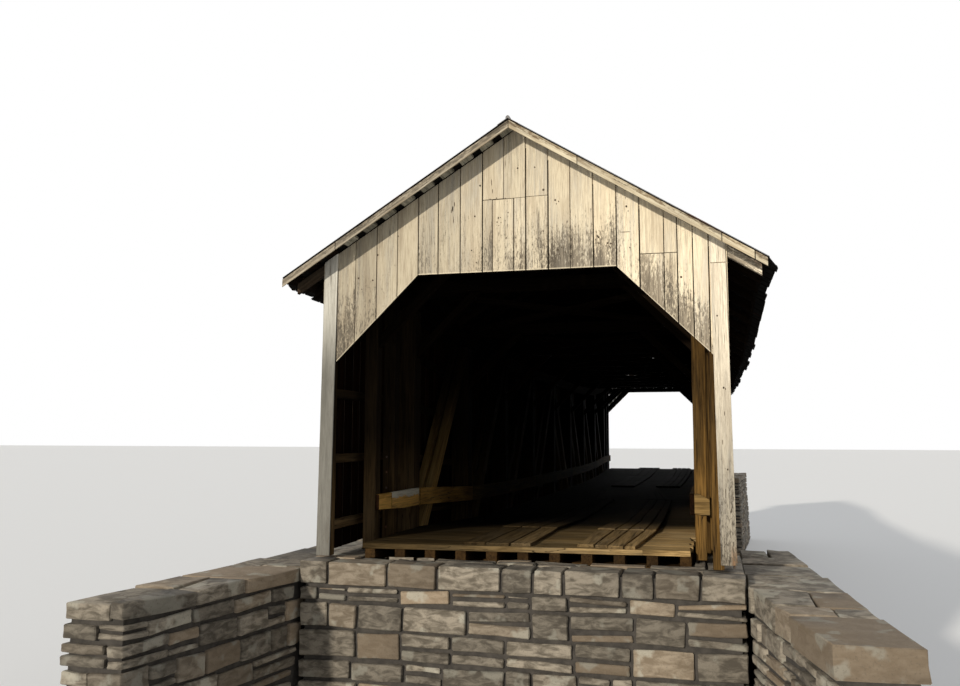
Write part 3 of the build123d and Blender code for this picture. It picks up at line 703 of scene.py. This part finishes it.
heap = newHeap()
smallKnots = [(x, z, radius * lumps["knotShare"]) for x, z, radius in knots]
discs(heap, smallKnots, portalFace - lumps["sunken"], lumps["height"], random.Random(13))
discs(heap, scars, portalFace - lumps["sunken"], lumps["height"], random.Random(14))
knotLook = dict(oldTimber, dark=(0.07, 0.05, 0.034), light=(0.20, 0.15, 0.10), greying=0.0)
knotMaterial = woodMaterial("darkKnot", knotLook)
makePiece("gableKnots", heap, [knotMaterial])
print("gable boards cut")

trim = {
    "wear": {"edge": 0.004, "step": 0.22, "depth": 0.003, "wave": 6.0},
    "rakeWear": {"edge": 0.004, "step": 0.16, "depth": 0.006, "wave": 8.0},
    "cornerJoint": {"near_right": 7.18},  # height of the butt joint in a corner board
    "splices": {"near_left": (-2.41,), "near_right": (0.90, 2.66, 3.04), "far_left": (-1.6,),
                "far_right": (1.9,)},
    "gap": 0.005,
}


def cornerBoards(end, side, rng):
    heap = newHeap()
    node = f"{end}_{side}_corner_board"
    joint = trim["cornerJoint"].get(f"{end}_{side}")
    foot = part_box(node)[0].z
    for solid in solidsOf(node):
        parts = [solid]
        if joint:
            parts = [between(solid, upAxis, None, joint), between(solid, upAxis, joint + trim["gap"], None)]
        for part in parts:
            age(part, trim["wear"], upAxis, rng)
            collect(heap, part, upAxis, rng, foot=lambda points: foot)
    # the near left corner board takes the trim paint in painted shade
    material = shadedTrimMaterial if (end, side) == ("near", "left") else trimMaterial
    makePiece(f"{end}{side.title()}CornerBoard", heap, [material], [node])


def rakeBoards(end, side, rng):
    heap = newHeap()
    node = f"{end}_{side}_rake_board"
    for solid in solidsOf(node):
        direction = lengthways(solid, alongAxis)
        low, high = span(solid, acrossAxis)
        places = [low] + sorted(trim["splices"][f"{end}_{side}"]) + [high]
        for x0, x1 in pairwise(places):
            part = between(solid, acrossAxis, x0 + trim["gap"] / 2, x1 - trim["gap"] / 2)
            age(part, trim["rakeWear"], direction, rng)
            collect(heap, part, direction, rng)
    material = rakeMaterial if side == "left" else wornRakeMaterial
    makePiece(f"{end}{side.title()}RakeBoard", heap, [material], [node])


for index, (end, side) in enumerate((e, s) for e in ("near", "far") for s in ("left", "right")):
    cornerBoards(end, side, random.Random(20 + index))
    rakeBoards(end, side, random.Random(30 + index))
heap = newHeap()
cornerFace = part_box("near_right_corner_board")[0].y
discs(heap, cornerScars, cornerFace - lumps["sunken"], lumps["height"], random.Random(15))
makePiece("cornerBoardKnots", heap, [knotMaterial])
print("corner and rake boards cut")


# side boarding, floor and guard rails

siding = {
    "wear": {"edge": 0.003, "step": 0.45, "depth": 0.003, "wave": 5.0},
    "narrow": 0.22, "wide": 0.31, "gap": 0.007, "raggedFoot": 0.035, "unevenness": 0.004,
    "inside": -0.5,  # how far a face in painted shade looks inwards
}
floor = {
    "wear": {"edge": 0.006, "step": 0.28, "depth": 0.005, "wave": 5.0},
    "narrow": 0.22, "wide": 0.28, "gap": 0.009, "raggedEnd": 0.025,
    "brokenReach": 2.2, "brokenEnd": 0.11,  # how far from the near end the planks' right ends are broken
}
tracks = {
    "wear": {"edge": 0.008, "step": 0.25, "depth": 0.008, "wave": 4.0},
    "leftSeams": (0.341, 0.694), "rightSeams": (0.298, 0.53, 0.798),  # as shares of the width
    "gap": 0.018, "raggedEnd": 0.06, "raggedSeam": 0.02,
    "sunken": 0.012, "sunkenReach": 1.5,  # how far the first lengths are worn, and where they begin at most
    "straightReach": 2.0,  # how far in the seams keep to their places
}
rails = {
    "wear": {"edge": 0.006, "step": 0.3, "depth": 0.004, "wave": 4.0},
    "wedge": ((-15.52, 3.970), (-14.04, 3.896)),  # along and up: the slanting cut under the left rail's end
    "blockTop": ((2.20, 4.325), (2.44, 4.196)), "blockFoot": ((2.20, 4.014), (2.44, 3.971)),  # across and up
    "paintPatch": (-14.86, -13.56),
    "portalReach": 1.5, "shortest": 1.0,  # how far in the first pieces begin, and the least length of a rail
    "end": -0.6,  # how far a face in painted shade looks out of the portal
}


def sideBoards(side, rng):
    heap = newHeap()
    outwards = sideways[side]
    for solid in solidsOf(f"{side}_siding"):
        low, high = span(solid, alongAxis)
        places = cutPlaces(low, high, siding["narrow"], siding["wide"], rng)
        for y0, y1 in pairwise(places):
            y0 += siding["gap"] * rng.uniform(0, 0.5)
            part = between(solid, alongAxis, y0, y1 - siding["gap"] * rng.uniform(0.1, 1))
            foot = span(part, upAxis)[0] + rng.uniform(0, siding["raggedFoot"])
            cutOff(part, upAxis * foot, -upAxis)
            move(part, -outwards * rng.uniform(0, siding["unevenness"]))
            age(part, siding["wear"], upAxis, rng)
            collect(heap, part, upAxis, rng, lambda face: int(face.normal.dot(outwards) < siding["inside"]))
    makePiece(f"{side}SideBoards", heap, [sidingMaterial, shadedInsideMaterial],
              [f"{side}_siding"])


def floorPlanks(rng):
    heap = newHeap()
    for solid in solidsOf("deck_planks"):
        low, high = span(solid, alongAxis)
        left, right = span(solid, acrossAxis)
        places = cutPlaces(low, high, floor["narrow"], floor["wide"], rng)
        for y0, y1 in pairwise(places):
            broken = floor["brokenEnd"] if y0 < portalFace + floor["brokenReach"] else floor["raggedEnd"]
            y0 += floor["gap"] * rng.uniform(0, 0.6)
            part = between(solid, alongAxis, y0, y1 - floor["gap"] * rng.uniform(0.1, 0.6))
            x0 = left + rng.uniform(0, floor["raggedEnd"])
            part = between(part, acrossAxis, x0, right - rng.uniform(0, broken))
            age(part, floor["wear"], acrossAxis, rng)
            collect(heap, part, acrossAxis, rng)
    makePiece("floorPlanks", heap, [floorMaterial], ["deck_planks"])


def trackPlanks(rng):
    heap = newHeap()
    for solid in solidsOf("wheel_tracks"):
        corners = sorted((v.co for v in solid.verts), key=lambda c: c.y)
        near, far = sorted(corners[:4], key=lambda c: c.x), sorted(corners[4:], key=lambda c: c.x)
        shares = tracks["leftSeams"] if near[0].x < 0 else tracks["rightSeams"]
        ragged = tracks["raggedSeam"]
        inside = near[0].y > portalFace + tracks["straightReach"]
        shares = [0, *(share + rng.uniform(-ragged, ragged) * inside for share in shares), 1]
        first = near[0].y < portalFace + tracks["sunkenReach"]
        for low, high in pairwise(shares):
            part = solid.copy()
            for share, sign in ((low, -1), (high, 1)):
                start, end = near[0].lerp(near[3], share), far[0].lerp(far[3], share)
                outwards = (end - start).cross(upAxis).normalized() * sign
                cutOff(part, start - outwards * tracks["gap"] * rng.uniform(0.1, 0.5), outwards)
            y0, y1 = span(part, alongAxis)
            cutOff(part, alongAxis * (y1 - rng.uniform(0, tracks["raggedEnd"])), alongAxis)
            if first:
                cutOff(part, alongAxis * (y0 + rng.uniform(0, tracks["raggedEnd"])), -alongAxis)
                move(part, (0, 0, -tracks["sunken"]))
            age(part, tracks["wear"], alongAxis, rng)
            collect(heap, part, alongAxis, rng)
    makePiece("trackPlanks", heap, [trackMaterial], ["wheel_tracks"])


def guardRails(side, rng):
    heap = newHeap()
    for solid in solidsOf(f"{side}_guard_rail"):
        low, high = span(solid, alongAxis)
        along = alongAxis if high - low > rails["shortest"] else acrossAxis
        atPortal = low < portalFace + rails["portalReach"]
        parts = [(solid, 2 if along is acrossAxis else 0)]
        if atPortal and side == "left":
            cutAlong(solid, rails["wedge"], acrossAxis)
            places = (None, *rails["paintPatch"], None)
            parts = [(between(solid, alongAxis, *places[i:i + 2]), i % 2) for i in range(3)]
        elif atPortal and along is acrossAxis:
            cutAlong(solid, rails["blockTop"], alongAxis)
            cutAlong(solid, rails["blockFoot"], alongAxis, -1)
        for part, kind in parts:  # 0 bare, 1 painted, 2 block; the near ends of rails are 3, in painted shade
            age(part, rails["wear"], along, rng)
            collect(heap, part, along, rng,
                    lambda face: 3 if kind < 2 and face.normal.y < rails["end"] else kind)
    # the left rail takes the brightened wood with painted light, the right rail the plain timber
    bare = railMaterial if side == "left" else timberMaterial
    materials = [bare, railPaintMaterial, blockMaterial, shadedInsideMaterial]
    makePiece(f"{side}GuardRailPlanks", heap, materials, [f"{side}_guard_rail"])


for index, side in enumerate(("left", "right")):
    sideBoards(side, random.Random(41 + index))
floorPlanks(random.Random(43))
trackPlanks(random.Random(44))
for index, side in enumerate(("left", "right")):
    guardRails(side, random.Random(45 + index))
print("siding, floor and rails cut")


# timbers of the trusses, the floor frame and the roof frame

timbers = {
    "hewn": {"edge": 0.010, "step": 0.35, "depth": 0.008, "wave": 3.0},
    "sawn": {"edge": 0.006, "step": 0.5, "depth": 0.005, "wave": 3.5},
    "tailReach": 0.15,  # how far behind the boarding the first rafter starts at most
}
pared = {"line": ((2.437, 6.5), (2.397, 3.9)), "reach": 1.0, "inside": 2.5}  # face of the right portal post


def parePost(solid):
    if (span(solid, alongAxis)[0] < portalFace + pared["reach"]
            and span(solid, acrossAxis)[1] < pared["inside"]):
        cutAlong(solid, pared["line"], alongAxis)


def dressTimbers(name, nodeName, wear, axis, rng, material=timberMaterial, slanting=False, first=None,
                 pare=None):
    heap = newHeap()
    for solid in solidsOf(nodeName):
        along = lengthways(solid, axis) if slanting else axis
        atPortal = first and span(solid, alongAxis)[0] < portalFace + timbers["tailReach"]
        if pare:
            pare(solid)
        age(solid, timbers[wear], along, rng)
        collect(heap, solid, along, rng, int(bool(atPortal)))
    makePiece(name, heap, [material, first or material], [nodeName])


for index, side in enumerate(("left", "right")):
    rng = random.Random(50 + index)
    # the left posts take the copy in painted shade, the right posts the copy in painted sunlight
    post, tail, pare = ((shadedPostMaterial, tailMaterial, None) if side == "left" else
                        (litPostMaterial, trimMaterial, parePost))
    for piece, node, wear, axis, material, more in (
            ("PostTimbers", "posts", "hewn", upAxis, post, {"pare": pare}),
            ("BracePlanks", "braces", "sawn", acrossAxis, braceMaterial, {"slanting": True}),
            ("BottomChordTimbers", "bottom_chord", "hewn", alongAxis, timberMaterial, {}),
            ("TopChordTimbers", "top_chord", "hewn", alongAxis, shadedOverheadMaterial, {}),
            ("KneeTimbers", "knee_braces", "sawn", alongAxis, shadedOverheadMaterial, {"slanting": True}),
            ("RafterTimbers", "rafters", "sawn", alongAxis, shadedOverheadMaterial,
             {"slanting": True, "first": tail}),
            ("GirtTimbers", "siding_girts", "sawn", alongAxis, shadedPostMaterial, {})):
        dressTimbers(side + piece, f"{side}_{node}", wear, axis, rng, material, **more)
bolts = {
    "places": [(-2.37, height, 0.017) for height in (4.70, 4.47, 4.23, 3.64)],  # across, height and radius
    "inwards": 1.648, "thickness": 0.014,  # how far in the left post's near face lies
}
heap = newHeap()
discs(heap, bolts["places"], portalFace + bolts["inwards"], bolts["thickness"], random.Random(16))
makePiece("postBolts", heap, [ironMaterial])
rng = random.Random(60)
dressTimbers("tieTimbers", "tie_beams", "hewn", acrossAxis, rng, shadedOverheadMaterial)
dressTimbers("lateralTimbers", "lateral_bracing", "sawn", upAxis, rng, shadedOverheadMaterial, slanting=True)
dressTimbers("floorBeamTimbers", "floor_beams", "hewn", acrossAxis, rng)
dressTimbers("joistTimbers", "floor_joists", "sawn", alongAxis, rng)
for end in ("near", "far"):
    dressTimbers(f"{end}BedTimbers", f"{end}_bed_timbers", "hewn", acrossAxis, rng)
print("timbers dressed")


# roof boards, sheets and ridge

roof = {
    "boardWear": {"edge": 0.002, "step": 0.6, "depth": 0.002, "wave": 4.0},
    "boardShortest": 2.6, "boardLongest": 4.2, "raggedEnd": 0.02, "boardGap": 0.004, "overhangGap": 0.0005,
    "paleReach": 2.45,  # how far from the middle the board ends outside the gables are pale; the others are in painted shade
    "behindGable": 0.02,  # where the boards end behind the gable's face
    "sheetWidth": 0.62, "crimp": 0.016, "crimpWidth": 0.022, "raggedEave": 0.05, "sheetStep": 0.45,
    "ripple": 0.002, "seam": 0.002, "capShortest": 2.3, "capLongest": 2.6, "capLap": 0.003, "rippleWave": 1.7,
    "underside": 0.2,  # how far up a face in painted shade looks at most
    "tornReach": 0.6,  # how far behind the gable the torn sheets begin at most
    "tornCorner": {"left": ((3.17, -16.63), (3.32, -15.95)), "right": ((3.19, -16.63), (3.33, -16.25))},
}


def roofBoards(side, rng):
    heap = newHeap()
    node = f"{side}_roof_battens"
    for solid in solidsOf(node):
        low, high = span(solid, alongAxis)
        low, high = low + rng.uniform(0, roof["raggedEnd"]), high - rng.uniform(0, roof["raggedEnd"])
        places = cutPlaces(low, high, roof["boardShortest"], roof["boardLongest"], rng)
        inner = abs(portalFace) + roof["behindGable"]
        places = sorted(places + [y for y in (-inner, inner) if low < y < high])
        for y0, y1 in pairwise(places):
            outside = abs(y0 + y1) / 2 > inner
            part = between(solid, alongAxis, y0, y1 - roof["overhangGap" if outside else "boardGap"])
            age(part, roof["boardWear"], alongAxis, rng)
            pale = outside and abs(sum(span(part, acrossAxis))) / 2 < roof["paleReach"]
            collect(heap, part, alongAxis, rng, int(pale))
    makePiece(f"{side}RoofBoards", heap, [shadedOverheadMaterial, battenMaterial], [node])


def crimpLift(distance):  # height of the folded ridge along a sheet's edge
    return roof["crimp"] * max(0.0, 1 - abs(distance - roof["crimpWidth"]) / roof["crimpWidth"])


def roofSheets(side, rng):
    heap = newHeap()
    outwards = sideways[side]
    for solid in solidsOf(f"{side}_metal_roof"):
        direction = lengthways(solid, alongAxis)
        direction = direction if direction.dot(outwards) > 0 else -direction
        low, high = span(solid, alongAxis)
        count = max(1, round((high - low) / roof["sheetWidth"]))
        eave = span(solid, outwards)[1]
        for i in range(count):
            y0, y1 = low + (high - low) * i / count, low + (high - low) * (i + 1) / count
            part = between(solid, alongAxis, y0, y1 - roof["seam"])
            part = between(part, outwards, None, eave - rng.uniform(0, roof["raggedEave"]))
            if y0 < portalFace + roof["tornReach"]:
                inner, outer = (outwards * across + alongAxis * along
                                for across, along in roof["tornCorner"][side])
                away = (outer - inner).cross(upAxis)
                cutOff(part, inner, away if away.dot(outwards) > 0 else -away)
            w, middle = roof["crimpWidth"], (y0 + y1) / 2
            addRows(part, alongAxis, (y0 + w, y0 + 2 * w, middle - w, middle, middle + w, y1 - 2 * w, y1 - w))
            near, far = span(part, direction)
            steps = max(1, round((far - near) / roof["sheetStep"]))
            addRows(part, direction, [near + (far - near) * k / steps for k in range(1, steps)])
            shift = randomVector(rng, 90)
            for vert in part.verts:
                y = vert.co.y
                lift = max(crimpLift(y - y0), crimpLift(y1 - y), crimpLift(abs(y - middle) + w))
                vert.co.z += lift - roof["ripple"] * (
                    0.5 + 0.5 * noise.noise(vert.co * roof["rippleWave"] + shift))
            collect(heap, part, direction, rng, lambda face: int(face.normal.z < roof["underside"]))
    makePiece(f"{side}RoofSheets", heap, [sheetMetal, shadedSheetUnderside], [f"{side}_metal_roof"])


def ridgeCaps(rng):
    heap = newHeap()
    for solid in solidsOf("ridge_cap"):
        low, high = span(solid, alongAxis)
        places = cutPlaces(low, high, roof["capShortest"], roof["capLongest"], rng)
        for i, (y0, y1) in enumerate(pairwise(places)):
            part = between(solid, alongAxis, y0, y1 - roof["seam"])
            if i % 2:
                move(part, (0, 0, -roof["capLap"]))
            collect(heap, part, alongAxis, rng)
    makePiece("ridgeCapLengths", heap, [sheetMetal], ["ridge_cap"], smooth=40)


for index, side in enumerate(("left", "right")):
    roofBoards(side, random.Random(70 + index))
    roofSheets(side, random.Random(72 + index))
ridgeCaps(random.Random(74))
print("roof laid")


# dry-laid stonework

masonry = {
    "lowCourse": 0.14, "highCourse": 0.38, "shortStone": 0.26, "longStone": 0.86,
    "smallest": 1e-4, "smallestFace": 0.002,  # cubic and square metres
    "gap": 0.010, "looseness": 0.022, "edge": 0.022, "bulge": 0.038, "wave": 6.5, "recess": 0.03,
    "coreInset": 0.08,
    "backRow": 0.45, "splitShare": 0.4, "thinnest": 0.08, "capShare": 0.5,  # share of capstones across a wall
    "ledgeRow": 0.55, "capShort": 1.6, "capLong": 1.5,  # how much longer the capstones are
    "lean": 3.0,  # degrees that a stone is laid off level
    "fineWave": 17, "flat": 0.999, "onPlane": 1e-4,
    "below": -0.5, "beside": 0.9, "besideReach": 0.01, "wingLap": 0.05, "buriedReach": 0.02,  # out of sight
}


def ageStone(solid, rng, inwards):
    solid.normal_update()
    points = np.array([v.co for v in solid.verts])
    low, high = points.min(0), points.max(0)
    roundEdges(solid, solid.edges[:], masonry["edge"])
    bmesh.ops.subdivide_edges(solid, edges=solid.edges[:], cuts=1, use_grid_fill=True)
    solid.normal_update()
    shift = randomVector(rng, 90)
    recess = inwards * rng.uniform(0, masonry["recess"])
    turn = Matrix.Rotation(math.radians(rng.uniform(-1, 1) * masonry["lean"]), 3, inwards)
    middle = Vector((low + high) / 2)
    for vert in solid.verts:
        rough = 0.5 + 0.35 * noise.noise(vert.co * masonry["wave"] + shift)
        rough += 0.25 * noise.noise(vert.co * masonry["fineWave"] + shift)
        moved = turn @ (vert.co - middle) + middle + recess - vert.normal * masonry["bulge"] * max(0.0, rough)
        vert.co = [min(max(value, a), b) for value, a, b in zip(moved, low, high)]


def layStone(heap, solid, xs, ys, zs, shows, rng):  # cut from a box of the wall, kept where its face shows
    if zs[1] is not None:
        zs = (zs[0], zs[1] - rng.uniform(0, masonry["looseness"]))
    part = between(between(between(solid, upAxis, *zs), alongAxis, *ys), acrossAxis, *xs)
    faces = []
    if part.faces and part.calc_volume() >= masonry["smallest"]:
        part.normal_update()
        faces = [f.normal.copy() for f in part.faces
                 if f.calc_area() > masonry["smallestFace"] and not onOwnFace(f, (xs, ys, zs)) and shows(f)]
    if not faces:
        part.free()
        return
    ageStone(part, rng, -sum(faces, Vector()).normalized())
    collect(heap, part, upAxis, rng)


def onOwnFace(face, ranges):  # whether a face of a cut stone lies on one of its cell's planes
    centre = face.calc_center_median()
    return any(abs(face.normal[axis]) > masonry["flat"] and abs(centre[axis] - place) < masonry["onPlane"]
               for axis, limits in enumerate(ranges) for place in limits if place is not None)


def core(heap, solid, inset, rng):  # dark heart of the wall, seen only in the joints
    solid.normal_update()
    moves = [(v, v.normal * v.calc_shell_factor() * inset) for v in solid.verts]
    for vert, move in moves:
        vert.co -= move
    collect(heap, solid, upAxis, rng, material=1)


def courseHeights(low, high, rng, fixed=()):
    heights = [low]
    for stop in sorted(fixed) + [high]:
        heights += cutPlaces(heights[-1], stop, masonry["lowCourse"], masonry["highCourse"], rng)[1:]
    return heights


def splitHeight(z0, z1, top, rng):  # now and then two thin stones lie in one course
    gap = masonry["gap"]
    high = None if top else z1 - gap / 2
    if z1 - z0 < masonry["thinnest"] * 2 or rng.random() > masonry["splitShare"] or top:
        return ((z0 + gap / 2, high),)
    middle = z0 + (z1 - z0) * rng.uniform(0.38, 0.62)
    return ((z0 + gap / 2, middle - gap / 2), (middle + gap / 2, high))


def abutmentStones(end, rng):
    heap = newHeap()
    node = f"{end}_abutment"
    solid = solidsOf(node)[0]
    low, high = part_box(node)
    inner = 1 if end == "near" else -1  # towards the middle of the bridge
    back = low.y if end == "near" else high.y
    levels = sorted({round(v.co.z, 3) for v in solid.verts})
    heights = courseHeights(levels[0], levels[-1], rng, levels[1:-1])
    steps = sorted({round(inner * (v.co.y - back), 3) for v in solid.verts})
    wall, (ledge, face, foot) = steps[1], steps[-3:]
    rows = (0, masonry["backRow"], wall, (wall + ledge) / 2, ledge, ledge + masonry["ledgeRow"],
            face - masonry["backRow"], foot + 0.01)
    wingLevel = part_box(f"{end}_right_wing_wall")[1].z
    gap = masonry["gap"]

    def shows(face):  # not where a wing wall stands against it, nor from below
        centre = face.calc_center_median()
        outer = abs(face.normal.x) > masonry["beside"] and abs(centre.x) > high.x - masonry["besideReach"]
        return not (outer and centre.z < wingLevel - masonry["wingLap"]) and face.normal.z > masonry["below"]

    for z0, z1 in pairwise(heights):
        for r0, r1 in pairwise(rows):
            y0, y1 = sorted((back + inner * r0, back + inner * r1))
            ys = [y0 + gap / 2, y1 - gap / 2]
            if r0 == 0:  # no joint on the wall's back
                ys[0 if inner > 0 else 1] = None
            edges = cutPlaces(low.x, high.x, masonry["shortStone"], masonry["longStone"], rng)
            for x0, x1 in pairwise(edges):
                for zs in splitHeight(z0, z1, z1 >= levels[-1], rng):
                    layStone(heap, solid, (x0 + gap / 2, x1 - gap / 2), ys, zs, shows, rng)
    core(heap, solid, masonry["coreInset"], rng)
    makePiece(f"{end}AbutmentStones", heap, [stone, jointMaterial], [node], smooth=50)


def wingStones(end, side, rng):
    heap = newHeap()
    node = f"{end}_{side}_wing_wall"
    solid = solidsOf(node)[0]
    low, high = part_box(node)
    abutLow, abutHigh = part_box(f"{end}_abutment")
    buried = abutHigh.x + masonry["buriedReach"]
    heights = courseHeights(low.z, high.z, rng)
    gap = masonry["gap"]

    def shows(face):  # not beside the abutment, nor from below
        centre = face.calc_center_median()
        beside = abs(centre.x) < buried and abutLow.y < centre.y < abutHigh.y
        return not beside and face.normal.z > masonry["below"]

    for z0, z1 in pairwise(heights):
        top = z1 >= high.z - tolerance["row"]
        shortest = masonry["shortStone"] * (masonry["capShort"] if top else 1)
        places = cutPlaces(low.y, high.y, shortest, masonry["longStone"] * (masonry["capLong"] if top else 1),
                           rng)
        for y0, y1 in pairwise(places):
            block = between(between(solid, upAxis, z0, None if top else z1), alongAxis, y0, y1)
            if not block.faces:
                continue
            x0, x1 = span(block, acrossAxis)
            seam = x0 + (x1 - x0) * rng.uniform(0.38, 0.62)
            whole = top and rng.random() < masonry["capShare"]
            ys = (None if y0 == places[0] else y0 + gap / 2, None if y1 == places[-1] else y1 - gap / 2)
            for xs in ((x0 - 1, x1 + 1),) if whole else ((x0 - 1, seam - gap / 2), (seam + gap / 2, x1 + 1)):
                for zs in splitHeight(z0, z1, top, rng):
                    layStone(heap, block, xs, ys, zs, shows, rng)
            block.free()
    core(heap, solid, masonry["coreInset"], rng)
    makePiece(f"{end}{side.title()}WingStones", heap, [stone, jointMaterial], [node], smooth=50)


for index, end in enumerate(("near", "far")):
    abutmentStones(end, random.Random(80 + index))
    for count, side in enumerate(("left", "right")):
        wingStones(end, side, random.Random(84 + 2 * index + count))
print("stonework laid")


# floor, light and camera

studio = {
    "floorSize": 400.0, "floorColour": (0.80, 0.79, 0.77), "worldFill": 0.42, "fillColour": (0.93, 0.96, 1.0),
    "keyPower": 3.4, "keyColour": (1.0, 0.94, 0.84), "keyDirection": (0.134, 0.355, -0.0965),
    "backPower": 0.7, "backDirection": (-0.45, -0.3, -0.84), "keySpread": 2.0, "backSpread": 60.0,  # degrees
}
view = {
    "place": (2.471, -27.623, 5.0), "yaw": 14.47, "pitch": 6.06, "roll": 0.13,  # degrees left, up and round
    "lens": 33.39, "sensor": 36.0,  # millimetres
    "farthest": 1000.0,
}


def whiteWhereSeen(tree, plain, white):  # plain shading, but white to the camera and in reflections
    rays = addNode(tree, "ShaderNodeLightPath").socket.node.outputs
    seen = Signal(rays["Is Camera Ray"]).maths("MAXIMUM", Signal(rays["Is Glossy Ray"]))
    seen = seen.maths("MAXIMUM", Signal(rays["Is Transmission Ray"]))
    return addNode(tree, "ShaderNodeMixShader", {0: seen, 1: plain, 2: white})


def makeStudio():
    world = bpy.data.worlds.new("studioWorld")
    bpy.context.scene.world = world
    world.use_nodes = True
    tree = world.node_tree
    tree.nodes.clear()
    plain, white = (addNode(tree, "ShaderNodeBackground", {"Color": (*colour, 1), "Strength": strength})
                    for colour, strength in ((studio["fillColour"], studio["worldFill"]), ((1, 1, 1), 1.0)))
    output = tree.nodes.new("ShaderNodeOutputWorld")
    tree.links.new(whiteWhereSeen(tree, plain, white).socket, output.inputs["Surface"])

    size = studio["floorSize"]
    mesh = bpy.data.meshes.new("studioFloor")
    mesh.from_pydata([(-size, -size, 0), (size, -size, 0), (size, size, 0), (-size, size, 0)], [],
                     [(0, 1, 2, 3)])
    material, tree, shader = newMaterial("paleFloor", 0.9)
    shader.inputs["Base Color"].default_value = (*studio["floorColour"], 1)
    mesh.materials.append(material)
    ground = addObject("studioFloor", mesh)

    for name, colour in (("key", studio["keyColour"]), ("back", studio["fillColour"])):
        data = bpy.data.lights.new(f"{name}Light", "SUN")
        data.energy, data.color = studio[f"{name}Power"], colour
        data.angle = math.radians(studio[f"{name}Spread"])
        lamp = addObject(f"{name}Light", data)
        lamp.rotation_mode = "QUATERNION"
        lamp.rotation_quaternion = Vector(studio[f"{name}Direction"]).to_track_quat("-Z", "Y")


def makeCamera():
    yaw, pitch, roll = (math.radians(view[key]) for key in ("yaw", "pitch", "roll"))
    forward = Vector((-math.sin(yaw) * math.cos(pitch), math.cos(yaw) * math.cos(pitch), math.sin(pitch)))
    right = Vector((math.cos(yaw), math.sin(yaw), 0))
    up = right.cross(forward)
    right, up = right * math.cos(roll) + up * math.sin(roll), up * math.cos(roll) - right * math.sin(roll)
    data = bpy.data.cameras.new("photoCamera")
    data.lens, data.sensor_width = view["lens"], view["sensor"]
    data.clip_end = view["farthest"]
    camera = addObject("photoCamera", data)
    turned = Matrix((right, up, -forward)).transposed().to_4x4()
    camera.matrix_world = Matrix.Translation(view["place"]) @ turned
    bpy.context.scene.camera = camera


makeStudio()
makeCamera()
bpy.context.scene.view_settings.view_transform = "Standard"
print("studio set up")
